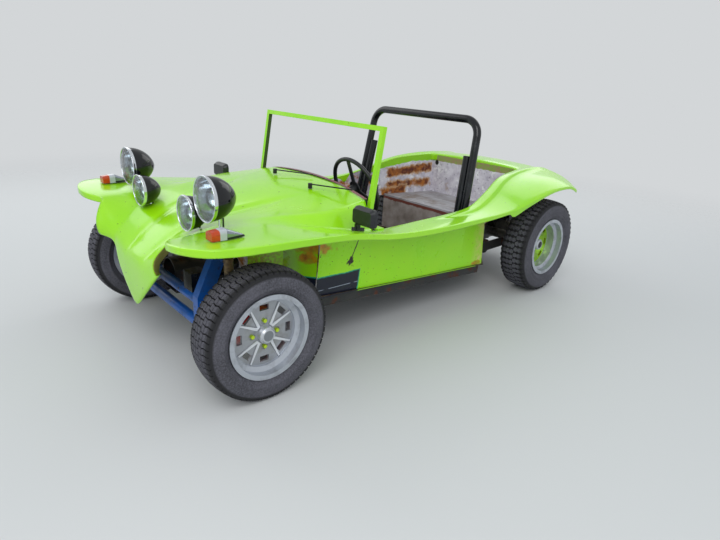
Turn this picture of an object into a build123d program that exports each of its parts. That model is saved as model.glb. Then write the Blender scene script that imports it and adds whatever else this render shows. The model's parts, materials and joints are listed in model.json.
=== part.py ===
from build123d import *
import os
from math import atan2, cos, radians, sin, sqrt

os.makedirs("parts", exist_ok=True)

# Open glass-fibre dune buggy on a rear-engined floor-pan chassis, left-hand drive.
# Millimetres. Forward is -Y, the car's left is +X, the ground is Z = 0, and the origin lies
# under the middle of the whole length.

# Main sizes
WHEELBASE = 2400
FRONT_OVERHANG = 362        # front axle to the front edge of the wings
REAR_OVERHANG = 600         # rear axle to the back of the silencer
FRONT_TRACK = 1446          # between the middles of the front rims
REAR_TRACK = 1400
SKIN = 6                    # glass-fibre laminate
LIP = 40                    # turned-down edge of wings and side decks
SHEET = 5                   # pressed steel
GAP = 0.3                   # seat clearance between pieces that touch
RUN = 6                     # free space round anything that turns
BEARING = 0.05              # radial clearance of a shaft in its bore

FRONT_AXLE_Y = FRONT_OVERHANG - (FRONT_OVERHANG + WHEELBASE + REAR_OVERHANG) / 2
REAR_AXLE_Y = FRONT_AXLE_Y + WHEELBASE

# Wheels
FRONT_TYRE_R = 319
FRONT_TYRE_W = 195
REAR_TYRE_R = 340
REAR_TYRE_W = 220
RIM_R = 190.5               # bead seat of a 15 inch rim
RIM_FLANGE = 17
FRONT_RIM_W = 160           # over the flanges
REAR_RIM_W = 190
BARREL = 6                  # thickness of the rim barrel
WELL = 22                   # drop of the rim's well
FRONT_DISC_IN = 60          # spoke face behind the outer flange
REAR_DISC_IN = 104
DISC = 14
HUB_CAP_R = 42
HUB_CAP_RISE = 38
HUB_CAP_BEVEL = 8
WINDOWS = 8                 # vent windows in each wheel
WINDOW = (28, 48)           # radial and round the wheel
WINDOW_AT = 129
LUGS = 4
LUG_PCD_R = 65
LUG_SEAT_R = 17
LUG_SEAT = 5                # depth of the round seat under a lug nut
RIB_RISE = 7
# Half of a pair of ribs that spreads from the hub cap round a window: radius and half spread
RIB_PAIR = [(60, 0), (154, 38), (154, 50), (44, 14)]
DRUM_R = 125
SPINDLE_R = 15

# Front suspension and steering
KINGPIN_X = FRONT_TRACK / 2 - 123
KINGPIN_R = 17
BEAM_AHEAD = 150            # beam tubes ahead of the axle
BEAM_TUBE_R = 26
BEAM_SPACING = 124
BEAM_HALF = 470
BEAM_Z = FRONT_TYRE_R + 20
ARM_W = 39
TOWER_W = 50
SHOCK_R = 22
SHOCK_X = 538
SHOCK_AHEAD = 60
SHOCK_TOP_Z = 610
STEER_ARM = 110             # kingpin to the tie-rod eye
STEER_ARM_Z = FRONT_TYRE_R - 60
STEER_ARM_T = 16
EYE_IN = 46                 # tie-rod eye inboard of the kingpin
TIE_ROD_R = 9
EYE_R = 16
EYE_T = 24
WHEEL_RIM_R = 178           # steering wheel to the middle of its rim
WHEEL_GRIP_R = 12
WHEEL_X = 320
WHEEL_BEHIND = 890          # centre behind the front axle
WHEEL_Z = 835
COLUMN_RISE = 22            # degrees, column above the level
COLUMN_R = 26
STEER_SHAFT_R = 10
BOSS = 60                   # boss under the steering wheel

# Floor pan: its side flange falls towards the rear
FLANGE_FRONT_Z = 350        # where the side panels start
FLANGE_REAR_Z = 256         # where they end
PANEL_START = 400           # behind the front axle
PANEL_END_AHEAD = 532       # ahead of the rear axle
PAN_HALF = 612
PAN_REAR_HALF = PAN_HALF - 132      # where the pan ends under the torsion housing
RISER_FOOT_HALF = PAN_HALF - 172
TRAY_HALF = PAN_HALF - 32
TRAY_DEPTH = 70
TOE = 100                   # toe board behind the front axle
TOE_HALF = PAN_HALF - 182
TOE_BEND = 300              # where the footwell turns out to the side panels
TUNNEL_HALF = 75
TUNNEL_RISE = 110
TORSION_AHEAD = 370         # torsion housing ahead of the rear axle
TORSION_R = 52
TORSION_Z = 330
TORSION_HALF = 500
HORN_X = 190
SHELF_Z = 520
SHELF = 12                  # thickness of the rear shelf
SHELF_AHEAD = 440
BELT_HOLE_R = 5.55          # 7/16 inch belt anchors in the shelf
BELT_X = (-400, -110, 110, 400)
BELT_AHEAD = 380
SEAT_X = 290                # middle of each seat
SEAT_BEHIND = 1350          # behind the front axle
SEAT_SPACING = (300, 300)   # seat bolts across and along
SEAT_BOLT_R = 4.25
RAIL_W = 30
RAIL_Z = 264                # level top of the seat rails
RAIL_LONG = 400
TUB_REAR = 50               # cockpit's rear wall behind the rear axle

# Windscreen frame and roll bar
SCREEN_BEHIND = 768         # front face of the frame's feet behind the front axle
SCREEN_HALF = 566
SCREEN_TOP_Z = 1202
SCREEN_LEAN = 8.5           # degrees
SCREEN_BAR = 26
HOOP_TUBE_R = 26
HOOP_HALF_TOP = 488
HOOP_HALF_FOOT = 545
HOOP_TOP_Z = 1222
HOOP_TOP_AHEAD = 612        # ahead of the rear axle
HOOP_FOOT_AHEAD = 775
HOOP_BEND_R = 110
BRACE_IN = 50               # second tube inboard of each leg, welded along it
BRACE_RISE = 785

# Engine, all behind the rear axle
CRANK_Z = 350
BELL_END = 130
CASE_END = 430
HEAD_HALF = 370
SHROUD_TOP = 790
PULLEY_R = 80
PULLEY_W = 40
SILENCER_R = 62
SILENCER_Z = 270

# Lamps: across, behind the front axle, up, glass radius, bowl length
LAMPS = [
    (473, -130, 901, 95, 150),
    (289, -143, 799, 75, 120),
]

# Bonnet: behind the front axle, outer edge x and z, shoulder x and z, valley x and z, and the
# height of the middle.
BONNET = [
    (-290, 450, 742, 300, 585, 110, 538, 545),
    (-200, 460, 748, 310, 665, 130, 616, 625),
    (-100, 490, 762, 340, 722, 150, 680, 690),
    (0, 515, 772, 380, 752, 180, 722, 735),
    (200, 570, 764, 470, 780, 230, 765, 787),
    (450, 640, 728, 590, 792, 290, 818, 842),
    (600, 640, 692, 590, 802, 330, 843, 864),
    (760, 622, 662, 548, 818, 350, 860, 880),
]
# Cockpit edge: behind the front axle, x and z. From the bonnet back to the rear wings.
COCKPIT_EDGE = [
    (760, 622, 662),
    (1100, 620, 671),
    (1600, 620, 694),
    (1740, 590, 735),
    (1910, 545, 785),
]
# Outer edge of front wing and side deck: behind the front axle, crown of the section, x and z.
SIDE_EDGE = [
    (-420, 14, 860, 776),
    (-200, 12, 850, 777),
    (0, 4, 838, 768),
    (200, 3, 822, 756),
    (510, 3, 797, 728),
    (760, 6, 786, 686),
    (1100, 6, 786, 665),
    (1600, 6, 786, 668),
    (1740, 8, 788, 672),
    (1910, 24, 792, 680),
]
# Rear wing: behind the rear axle, inner edge x and z, crown, outer edge x and z.
REAR_WING = [
    (-490, 545, 785, 24, 792, 680),
    (-335, 500, 832, 36, 800, 716),
    (-120, 455, 850, 46, 806, 765),
    (50, 430, 855, 46, 806, 783),
    (200, 420, 850, 34, 800, 775),
    (360, 420, 822, 24, 794, 730),
]
# Nose, over the fold into the upright shield with a rounded lobe on each side of its beak:
# behind the front axle, outer edge x and z, lobe x and z, shoulder, valley, and the middle.
NOSE = [
    (-290, 450, 742, 375, 665, 300, 585, 110, 538, 545),
    (-294, 449, 741, 375, 664, 292, 535, 109, 534, 541),
    (-300, 449, 738, 376, 660, 284, 506, 108, 528, 535),
    (-308, 447, 724, 377, 657, 276, 484, 105, 516, 523),
    (-316, 444, 702, 378, 653, 268, 462, 100, 490, 496),
]
# Lobes ahead of the shield: the same columns from the outer edge in to the shoulder
LOBE = [
    (-316, 444, 702, 378, 653, 268, 462),
    (-330, 440, 610, 378, 646, 268, 390),
    (-341, 430, 500, 378, 632, 272, 380),
]
# Lower edge of the nose's shield, from the beak's tip outwards: x and z.
BEAK = [(18, 264), (84, 323), (194, 418), (288, 517), (342, 578), (378, 630), (412, 683),
        (460, 752)]
# Foot of the side panel: behind the front axle, inside the pan's edge.
PANEL_FOOT = [
    (400, 20),
    (1270, 14),
    (1868, 22),
]
TABLE_WHEELBASE = 2400      # the wheelbase that the tables above were drawn for
WING_END = 510
DECK_END = 1910

# Stations of the skin's sections, closer together where it curves more
BONNET_AT = (-290, -245, -200, -150, -100, -50, 0, 100, 200, 300, 400, 510, 600, 680, 760)
WING_AT = (-420,) + BONNET_AT[:12]
PANEL_AT = BONNET_AT[10:] + (930, 1100, 1270, 1430, 1600, 1740, 1805, 1868)
DECK_AT = PANEL_AT[1:] + (DECK_END,)
REAR_AT = (-490, -410, -335, -220, -120, -35, 50, 125, 200, 280, 360)
WING_SPREAD = 60            # the wings' sections run on past the edge before they are trimmed
PLAN_IN = 300               # the wings' plans run in this far, past their slabs
PLAN_PAST = 50              # and this far past their ends along the car
TAIL_BEHIND = 350           # tail of the rear wings behind the rear axle


def behind_front(s):
    """Y of a table station: from the scuttle back, the sides stretch with the wheelbase."""
    if s > 760:
        fixed = 760 + (TABLE_WHEELBASE - DECK_END)
        s = 760 + (s - 760) * (WHEELBASE - fixed) / (TABLE_WHEELBASE - fixed)
    return FRONT_AXLE_Y + s


def behind_rear(r):
    return REAR_AXLE_Y + r


def smooth(rows, s):
    """The columns of a table at station s, on a smooth curve through its rows."""
    s = min(max(s, rows[0][0]), rows[-1][0])
    i = 0
    while i < len(rows) - 2 and s > rows[i + 1][0]:
        i += 1
    here = rows[i]
    there = rows[i + 1]
    before = rows[max(i - 1, 0)]
    after = rows[min(i + 2, len(rows) - 1)]
    span = there[0] - here[0]
    t = (s - here[0]) / span
    out = []
    for a, p, q, b in zip(before, here, there, after):
        slope_p = (q - a) / (there[0] - before[0]) * span
        slope_q = (b - p) / (after[0] - here[0]) * span
        out.append((2 * t**3 - 3 * t**2 + 1) * p + (t**3 - 2 * t**2 + t) * slope_p
                   + (3 * t**2 - 2 * t**3) * q + (t**3 - t**2) * slope_q)
    return out[1:]


def side_row(s):
    """Front wing and side deck at s: inner edge x and z, crown, outer edge x and z."""
    inner = smooth(BONNET, s)[:2] if s <= 760 else smooth(COCKPIT_EDGE, s)
    return [*inner, *smooth(SIDE_EDGE, s)]


def on_skin(height, stations, s, x):
    """Height of a skin piece at x, straight between its two stations round s."""
    fore, aft = [(a, b) for a, b in zip(stations, stations[1:]) if a <= s][-1]
    return height(fore, x) + (height(aft, x) - height(fore, x)) * (s - fore) / (aft - fore)


def side_top(s, x, spread=0):
    """Height of the side deck's section at x, or of the front wing's with its spread."""
    x_in, z_in, crown, x_out, z_out = side_row(s)
    slope = (z_out - z_in) / (x_out - x_in)
    t = (x - x_in) / (x_out + spread - x_in)
    return z_in + slope * (x - x_in) + crown * 4 * t * (1 - t)


def bonnet_top(s, x):
    """Height of the bonnet's section at x: an arc over the middle, then straight runs."""
    xe, ze, xs, zs, xv, zv, zc = smooth(BONNET, s)
    if x < xv:
        return zc + (zv - zc) * (x / xv) ** 2
    if x < xs:
        return zv + (zs - zv) * (x - xv) / (xs - xv)
    return zs + (ze - zs) * (x - xs) / (xe - xs)


def bonnet_under(x, s, r):
    """The highest point of the bonnet under a round foot."""
    return max(on_skin(bonnet_top, BONNET_AT, s + r * sin(turn), x + r * cos(turn))
               for turn in [radians(15 * k) for k in range(24)])


def flange_z(y):
    """Height of the pan's flange, which is straight from end to end."""
    y0 = behind_front(PANEL_START)
    y1 = behind_rear(-PANEL_END_AHEAD)
    return FLANGE_FRONT_Z + (FLANGE_REAR_Z - FLANGE_FRONT_Z) * (y - y0) / (y1 - y0)


def upright(y):
    """Plane across the car at y, with X across and Z up."""
    return Plane.XZ.offset(-y)


def lengthwise(x):
    """Plane along the car at x, with Y and Z in it."""
    return Plane.YZ.offset(x)


def inward(points, depth):
    """The points of an open outline moved to its right-hand side by depth, its ends straight down."""
    out = [(points[0][0], points[0][1] - depth)]
    for (ax, az), (x, z), (bx, bz) in zip(points, points[1:], points[2:]):
        run = sqrt((bx - ax) ** 2 + (bz - az) ** 2)
        out.append((x + (bz - az) / run * depth, z - (bx - ax) / run * depth))
    return out + [(points[-1][0], points[-1][1] - depth)]


def across(half):
    """A left half outline, from the edge to the middle, carried over to the right side."""
    return [(-x, z) for x, z in half[:-1]] + [half[-1]] + half[-2::-1]


def band(plane, points):
    """Section of the laminate: straight runs with an arc over the middle."""
    under = inward(points, SKIN)
    with BuildSketch(plane) as section:
        with BuildLine():
            Polyline(*points[:3])
            ThreePointArc(points[2], points[3], points[4])
            Polyline(*points[4:])
            Line(points[-1], under[-1])
            Polyline(*under[-1:3:-1])
            ThreePointArc(under[4], under[3], under[2])
            Polyline(*under[2::-1])
            Line(under[0], points[0])
        make_face()
    return section.sketch


def save(piece, name):
    piece.label = name
    export_step(piece, "parts/" + name + ".step")


def save_pair(piece, name):
    """The left piece, and its mirror image on the right."""
    save(piece, name + "_left")
    save(mirror(piece, about=Plane.YZ), name + "_right")


# Bonnet
with BuildPart() as bonnet:
    for s in BONNET_AT:
        xe, ze, xs, zs, xv, zv, zc = smooth(BONNET, s)
        add(band(upright(behind_front(s)), across([(xe, ze), (xs, zs), (xv, zv), (0, zc)])))
    loft(ruled=True)
save(bonnet.part, "bonnet")

# Nose, from the bonnet's front edge over the fold and down to the beak
def nose_block(inset, spread):
    """The space under the fold and the lobes, moved back and down, with its sides spread."""
    with BuildPart() as block:
        for s, xe, ze, xl, zl, xs, zs, xv, zv, zc in NOSE:
            edge = (xe + spread, ze + (ze - zl) / (xe - xl) * spread)
            half = [edge, (xl, zl), (xs, zs), (xv, zv), (0, zc)]
            top = [(x, z - inset) for x, z in across(half)]
            with BuildSketch(upright(behind_front(s) + inset)):
                with BuildLine():
                    Polyline(*top[:4])
                    ThreePointArc(*top[3:6])
                    Polyline(*top[5:], (top[-1][0], 0), (top[0][0], 0), top[0])
                make_face()
        loft(ruled=True)
        for side in (-1, 1):
            for s, xe, ze, xl, zl, xs, zs in LOBE:
                edge = (xe + spread, ze + (ze - zl) / (xe - xl) * spread)
                top = [(side * x, z - inset) for x, z in (edge, (xl, zl), (xs, zs))]
                with BuildSketch(upright(behind_front(s) + inset)):
                    with BuildLine():
                        Polyline(*top, (top[-1][0], 0), (top[0][0], 0), close=True)
                    make_face()
            loft(ruled=True)
    return block.part


with BuildPart() as nose:
    add(nose_block(0, 0))
    add(nose_block(SKIN, LIP), mode=Mode.SUBTRACT)
    with BuildSketch(upright(behind_front(-FRONT_OVERHANG))):
        with BuildLine():
            Polyline((-BEAK[-1][0], SCREEN_TOP_Z), *[(-x, z) for x, z in BEAK[::-1]], *BEAK,
                     (BEAK[-1][0], SCREEN_TOP_Z), close=True)
        make_face()
    extrude(amount=GAP - FRONT_OVERHANG - BONNET_AT[0], mode=Mode.INTERSECT)
save(nose.part, "nose")


# Wings
def wing_section(y, row, top, bottom, spread):
    """Slab section from the inner edge past the outer edge, between two depths."""
    x_in, z_in, crown, x_out, z_out = row
    slope = (z_out - z_in) / (x_out - x_in)
    x_end = x_out + spread
    z_end = z_out + slope * spread
    x_mid = (x_in + x_end) / 2
    z_mid = (z_in + z_end) / 2 + crown
    with BuildSketch(upright(y)) as section:
        with BuildLine():
            ThreePointArc((x_in, z_in - top), (x_mid, z_mid - top), (x_end, z_end - top))
            Line((x_end, z_end - top), (x_end, z_end - bottom))
            ThreePointArc((x_end, z_end - bottom), (x_mid, z_mid - bottom), (x_in, z_in - bottom))
            Line((x_in, z_in - bottom), (x_in, z_in - top))
        make_face()
    return section.sketch


def wing_slab(sections, top, bottom):
    with BuildPart() as slab:
        for y, row in sections:
            add(wing_section(y, row, top, bottom, WING_SPREAD))
        loft(ruled=True)
    return slab.part


def wing(sections, outer, inner):
    """A wing with its turned-down lip along the plan outline."""
    with BuildPart() as core:
        add(wing_slab(sections, SKIN, LIP + 20))
        with BuildSketch():
            add(inner)
        extrude(amount=2 * SCREEN_TOP_Z, mode=Mode.INTERSECT)
    with BuildPart() as shell:
        add(wing_slab(sections, 0, LIP))
        with BuildSketch():
            add(outer)
        extrude(amount=2 * SCREEN_TOP_Z, mode=Mode.INTERSECT)
        add(core.part, mode=Mode.SUBTRACT)
    return shell.part


def front_outline(inset):
    """Plan of the front wing; its inner and rear sides run past the slab."""
    front = behind_front(-FRONT_OVERHANG) + inset
    with BuildSketch() as plan:
        with BuildLine():
            Polyline((PLAN_IN, front + 72), (450, front + 72), (545, front), (690, front),
                     (805, front + 62), (844 - inset, behind_front(-150)),
                     (838 - inset, behind_front(0)), (822 - inset, behind_front(200)),
                     (797 - inset, behind_front(WING_END)),
                     (797 - inset, behind_front(WING_END + PLAN_PAST)),
                     (PLAN_IN, behind_front(WING_END + PLAN_PAST)), close=True)
        make_face()
        rounded = plan.vertices().filter_by(lambda v: 500 < v.X < 810 and v.Y < front + 80)
        fillet(rounded, radius=45 - inset)
    return plan.sketch


def rear_outline(inset):
    """Plan of the rear wing, with its round tail."""
    tail = behind_rear(TAIL_BEHIND) - inset
    lead = behind_rear(REAR_AT[0] - PLAN_PAST)
    with BuildSketch() as plan:
        with BuildLine():
            Polyline((PLAN_IN, lead), (791 - inset, lead), (792 - inset, behind_rear(REAR_AT[0])),
                     (806 - inset, behind_rear(-120)), (806 - inset, behind_rear(50)),
                     (798 - inset, tail), (PLAN_IN, tail), close=True)
        make_face()
        rounded = plan.vertices().filter_by(lambda v: v.X > 700 and v.Y > tail - 20)
        fillet(rounded, radius=80 - inset)
    return plan.sketch


save_pair(wing([(behind_front(s), side_row(s)) for s in WING_AT],
               front_outline(0), front_outline(SKIN)), "front_wing")
save_pair(wing([(behind_rear(r), smooth(REAR_WING, r)) for r in REAR_AT],
               rear_outline(0), rear_outline(SKIN)), "rear_wing")

# Side deck along the cockpit
with BuildPart() as side_deck:
    for s in DECK_AT:
        x_in, z_in, crown, x_out, z_out = side_row(s)
        x_mid = (x_in + x_out) / 2
        z_mid = (z_in + z_out) / 2 + crown
        with BuildSketch(upright(behind_front(s))):
            with BuildLine():
                ThreePointArc((x_in, z_in), (x_mid, z_mid), (x_out, z_out))
                Polyline((x_out, z_out), (x_out, z_out - LIP), (x_out - SKIN, z_out - LIP),
                         (x_out - SKIN, z_out - SKIN))
                ThreePointArc((x_out - SKIN, z_out - SKIN), (x_mid, z_mid - SKIN),
                              (x_in, z_in - SKIN))
                Line((x_in, z_in - SKIN), (x_in, z_in))
            make_face()
    loft(ruled=True)
save_pair(side_deck.part, "side_deck")

# Side panel, from the deck down to the pan's flange
with BuildPart() as side_panel:
    for s in PANEL_AT:
        x_in = side_row(s)[0]
        x_foot = PAN_HALF - smooth(PANEL_FOOT, s)[0]
        z_foot = flange_z(behind_front(s)) + GAP
        top_in, top_out = [side_top(s, x) - SKIN - GAP for x in (x_in, x_in + SKIN)]
        with BuildSketch(upright(behind_front(s))):
            with BuildLine():
                Polyline((x_foot, z_foot), (x_in, top_in), (x_in + SKIN, top_out),
                         (x_foot + SKIN, z_foot), close=True)
            make_face()
    loft(ruled=True)
save_pair(side_panel.part, "side_panel")

# Rear deck between the wings
with BuildPart() as rear_deck:
    for r in REAR_AT[6:10]:
        x_in, z_in = smooth(REAR_WING, r)[:2]
        with BuildSketch(upright(behind_rear(r))):
            with BuildLine():
                ThreePointArc((-x_in, z_in), (0, z_in + 14), (x_in, z_in))
                Line((x_in, z_in), (x_in, z_in - SKIN))
                ThreePointArc((x_in, z_in - SKIN), (0, z_in + 14 - SKIN), (-x_in, z_in - SKIN))
                Line((-x_in, z_in - SKIN), (-x_in, z_in))
            make_face()
    loft(ruled=True)
save(rear_deck.part, "rear_deck")

# Cockpit rear: inner walls beside the wheels and the rear wall
WALL_LEAN = 6
with BuildPart() as cockpit_rear:
    for side in (-1, 1):
        for r in REAR_AT[:7]:
            x_in, z_in = smooth(REAR_WING, r)[:2]
            z_top = z_in - SKIN - GAP
            x_low = x_in - WALL_LEAN
            with BuildSketch(upright(behind_rear(r))):
                with BuildLine():
                    Polyline((side * x_in, z_top), (side * x_low, SHELF_Z),
                             (side * (x_low - SKIN), SHELF_Z), (side * (x_in - SKIN), z_top),
                             close=True)
                make_face()
        loft(ruled=True)
    x_in, z_in = smooth(REAR_WING, TUB_REAR)[:2]
    corner = x_in - SKIN / 2
    z_top = z_in - SKIN - GAP
    with BuildSketch(upright(behind_rear(TUB_REAR))):
        with BuildLine():
            Polyline((WALL_LEAN - corner, SHELF_Z), (-corner, z_top), (corner, z_top),
                     (corner - WALL_LEAN, SHELF_Z), close=True)
        make_face()
    extrude(amount=SKIN)
save(cockpit_rear.part, "cockpit_rear")


# Rear shelf: a plank between the inner walls, and the riser under its front edge
def shelf_half(r):
    """Half width of the shelf: the walls' foot, straight between their stations."""
    return on_skin(lambda at, x: smooth(REAR_WING, at)[0] - x, REAR_AT, r,
                   WALL_LEAN + SKIN + GAP)


with BuildPart() as rear_shelf:
    shelf_at = (-SHELF_AHEAD,) + REAR_AT[1:6] + (TUB_REAR - SKIN - GAP,)
    shelf_edge = [(shelf_half(r), behind_rear(r)) for r in shelf_at]
    with BuildSketch(Plane.XY.offset(SHELF_Z)):
        with BuildLine():
            Polyline(*shelf_edge, *[(-x, y) for x, y in shelf_edge[::-1]], close=True)
        make_face()
        with Locations([(x, behind_rear(-BELT_AHEAD)) for x in BELT_X]):
            Circle(BELT_HOLE_R, mode=Mode.SUBTRACT)
    extrude(amount=SHELF)
    riser_half, riser_y = shelf_edge[0]
    flange = flange_z(riser_y)
    floor = flange - TRAY_DEPTH + SHEET + 2 * GAP
    with BuildSketch(upright(riser_y)):
        with BuildLine():
            riser = [(TUNNEL_HALF + GAP, floor), (RISER_FOOT_HALF, floor),
                     (RISER_FOOT_HALF, flange + GAP), (riser_half, flange + GAP),
                     (riser_half, SHELF_Z)]
            Polyline(*riser, *[(-x, z) for x, z in riser[::-1]],
                     (-TUNNEL_HALF - GAP, flange + TUNNEL_RISE + GAP),
                     (TUNNEL_HALF + GAP, flange + TUNNEL_RISE + GAP), close=True)
        make_face()
    extrude(amount=-SKIN)
save(rear_shelf.part, "rear_shelf")

# Steering column axis, from the wheel down and forward
hub = Vector(WHEEL_X, FRONT_AXLE_Y + WHEEL_BEHIND, WHEEL_Z)
shaft = Vector(0, cos(radians(COLUMN_RISE)), sin(radians(COLUMN_RISE)))
wheel_plane = Plane(origin=hub, x_dir=(1, 0, 0), z_dir=shaft)

# Footwell: angled walls and the toe board, from the pan up under the bonnet
FOOTWELL_TOP = 700
TOE_SPREAD = 26
with BuildPart() as footwell:
    y_toe = behind_front(TOE) - SKIN
    y_sill = behind_front(PANEL_START) + SKIN
    for z, spread in ((flange_z(y_sill) - SKIN, 0), (FOOTWELL_TOP, TOE_SPREAD)):
        with BuildSketch(Plane.XY.offset(z)):
            with BuildLine():
                start = (PAN_HALF - smooth(PANEL_FOOT, PANEL_START)[0] + spread,
                         behind_front(PANEL_START) - GAP)
                bend = (TOE_HALF + spread, behind_front(TOE_BEND))
                toe = (TOE_HALF, behind_front(TOE))
                wall = [start, bend, toe, (-toe[0], toe[1]), (-bend[0], bend[1]),
                        (-start[0], start[1])]
                inside = [(start[0] - SKIN, start[1]), (bend[0] - SKIN, bend[1]),
                          (toe[0] - SKIN, toe[1] + SKIN), (SKIN - toe[0], toe[1] + SKIN),
                          (SKIN - bend[0], bend[1]), (SKIN - start[0], start[1])]
                Polyline(*wall, *inside[::-1], close=True)
            make_face()
    loft(ruled=True)
    with BuildSketch(lengthwise(-PAN_HALF)):
        with BuildLine():
            Polyline((y_toe, 0), (y_toe, flange_z(y_toe) + GAP),
                     (y_sill, flange_z(y_sill) + GAP), (y_sill, 0), close=True)
        make_face()
    extrude(amount=2 * PAN_HALF, mode=Mode.SUBTRACT)
    with BuildSketch(upright(y_toe)):
        with Locations((0, flange_z(y_toe))):
            Rectangle(2 * TUNNEL_HALF + 2 * GAP, 2 * (TUNNEL_RISE + 2 * GAP))
    extrude(amount=-3 * SKIN, mode=Mode.SUBTRACT)
    with BuildSketch(wheel_plane):
        Circle(COLUMN_R + GAP)
    extrude(amount=-2 * WHEEL_BEHIND, mode=Mode.SUBTRACT)
save(footwell.part, "footwell")

# Dashboard: closes the scuttle behind the bonnet
DASH_FOOT_Z = 700
DASH_HALF = SCREEN_HALF - SCREEN_BAR - GAP
with BuildPart() as dashboard:
    xe, ze, xs, zs, xv, zv, zc = smooth(BONNET, BONNET_AT[-1])
    with BuildSketch(upright(behind_front(BONNET_AT[-1]) + GAP)):
        with BuildLine():
            z_end = bonnet_top(BONNET_AT[-1], DASH_HALF)
            Polyline((xv, zv), (DASH_HALF, z_end), (DASH_HALF, DASH_FOOT_Z),
                     (-DASH_HALF, DASH_FOOT_Z), (-DASH_HALF, z_end), (-xv, zv))
            ThreePointArc((-xv, zv), (0, zc), (xv, zv))
        make_face()
    extrude(amount=-SCREEN_BAR)
    with BuildSketch(wheel_plane):
        Circle(COLUMN_R + GAP)
    extrude(amount=-2 * WHEEL_BEHIND, mode=Mode.SUBTRACT)
save(dashboard.part, "dashboard")

# Windscreen frame: three sides of square bar on two foot plates, with no glass
screen_y = FRONT_AXLE_Y + SCREEN_BEHIND + SCREEN_BAR
FOOT_PLATE = 8
FOOT_X = (540, 652)         # foot plates of the windscreen frame
FOOT_LONG = 44
plate_z = side_top(SCREEN_BEHIND, FOOT_X[1]) + 2 * GAP
with BuildPart() as windscreen_frame:
    screen = Plane(origin=(0, screen_y, plate_z), x_dir=(1, 0, 0),
                   z_dir=(0, -cos(radians(SCREEN_LEAN)), sin(radians(SCREEN_LEAN))))
    height = (SCREEN_TOP_Z - plate_z) / cos(radians(SCREEN_LEAN))
    with BuildSketch(screen):
        with Locations((0, height / 2)):
            Rectangle(2 * SCREEN_HALF, height)
        with Locations((0, (height - SCREEN_BAR) / 2)):
            Rectangle(2 * (SCREEN_HALF - SCREEN_BAR), height - SCREEN_BAR, mode=Mode.SUBTRACT)
    extrude(amount=SCREEN_BAR)
    with BuildSketch(Plane.XY.offset(plate_z)):
        foot_x = sum(FOOT_X) / 2
        with Locations((foot_x, screen_y), (-foot_x, screen_y)):
            Rectangle(FOOT_X[1] - FOOT_X[0], FOOT_LONG)
    extrude(amount=FOOT_PLATE)
save(windscreen_frame.part, "windscreen_frame")

# Roll bar: one bent tube on two foot plates, leaning back
hoop_y = behind_rear(-HOOP_FOOT_AHEAD)
hoop_foot = flange_z(hoop_y) - TRAY_DEPTH + SHEET + GAP
hoop_lean = atan2(HOOP_FOOT_AHEAD - HOOP_TOP_AHEAD, HOOP_TOP_Z - hoop_foot)
with BuildPart() as roll_bar:
    hoop = Plane(origin=(0, hoop_y, hoop_foot + FOOT_PLATE), x_dir=(1, 0, 0),
                 z_dir=(0, -cos(hoop_lean), sin(hoop_lean)))
    rise = (HOOP_TOP_Z - hoop_foot - FOOT_PLATE) / cos(hoop_lean)
    with BuildLine(hoop) as run:
        FilletPolyline((-HOOP_HALF_FOOT, 0), (-HOOP_HALF_TOP, rise), (HOOP_HALF_TOP, rise),
                       (HOOP_HALF_FOOT, 0), radius=HOOP_BEND_R)
    with BuildSketch(Plane(origin=run.line @ 0, z_dir=run.line % 0)):
        Circle(HOOP_TUBE_R)
    sweep()
    slope = atan2(FLANGE_FRONT_Z - FLANGE_REAR_Z,
                  behind_rear(-PANEL_END_AHEAD) - behind_front(PANEL_START))
    brace_foot = HOOP_HALF_FOOT - BRACE_IN
    brace_top = brace_foot - (HOOP_HALF_FOOT - HOOP_HALF_TOP) * BRACE_RISE / rise
    for side in (-1, 1):
        with BuildLine(hoop) as brace:
            Line((side * brace_foot, 0), (side * brace_top, BRACE_RISE))
        with BuildSketch(Plane(origin=brace.line @ 0, z_dir=brace.line % 0)):
            Circle(HOOP_TUBE_R)
        sweep()
        with BuildSketch(Plane(origin=(side * (HOOP_HALF_FOOT - BRACE_IN / 2 - 16), hoop_y,
                                       hoop_foot),
                               x_dir=(1, 0, 0), z_dir=(0, sin(slope), cos(slope)))):
            Rectangle(80 + BRACE_IN, 90)
        extrude(amount=2 * FOOT_PLATE)
save(roll_bar.part, "roll_bar")


# Head and fog lamps: a round bowl on a short stalk, and a domed glass
def lamp_plane(side, x, s, z):
    """Half section of a lamp: x_dir runs back along its axis, and the radius goes up."""
    return Plane(origin=(side * x, behind_front(s), z), x_dir=(0, 1, 0), z_dir=(1, 0, 0))


STALK_R = 13
LAMP_EDGE = 5               # the glass reaches this far past the bowl's mouth
LAMP_RIM = (12, 6)          # length and width of the rim's ring
with BuildPart() as lamp_bowls:
    for x, s, z, glass_r, length in LAMPS:
        for side in (-1, 1):
            with BuildSketch(lamp_plane(side, x, s, z)):
                with BuildLine():
                    ThreePointArc((0, glass_r + 6), (length * 0.62, glass_r * 0.82), (length, 0))
                    Line((length, 0), (length - SKIN, 0))
                    ThreePointArc((length - SKIN, 0), (length * 0.6, glass_r * 0.82 - SKIN),
                                  (0, glass_r))
                    Line((0, glass_r), (0, glass_r + 6))
                make_face()
                with Locations((0, glass_r + LAMP_EDGE + GAP + LAMP_RIM[1] / 2)):
                    RectangleRounded(*LAMP_RIM, 2)
            revolve(axis=Axis((side * x, behind_front(s), z), (0, 1, 0)))
            back = length * 0.5
            stand = bonnet_under(x, s + back, STALK_R) + GAP
            with BuildSketch(Plane.XY.offset(stand)):
                with Locations((side * x, behind_front(s) + back)):
                    Circle(STALK_R)
            extrude(amount=z - glass_r * 0.86 - stand)
save(lamp_bowls.part, "lamp_bowls")

GLASS = 4
GLASS_RISE = 12             # how far the glass domes out of its rim


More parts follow.
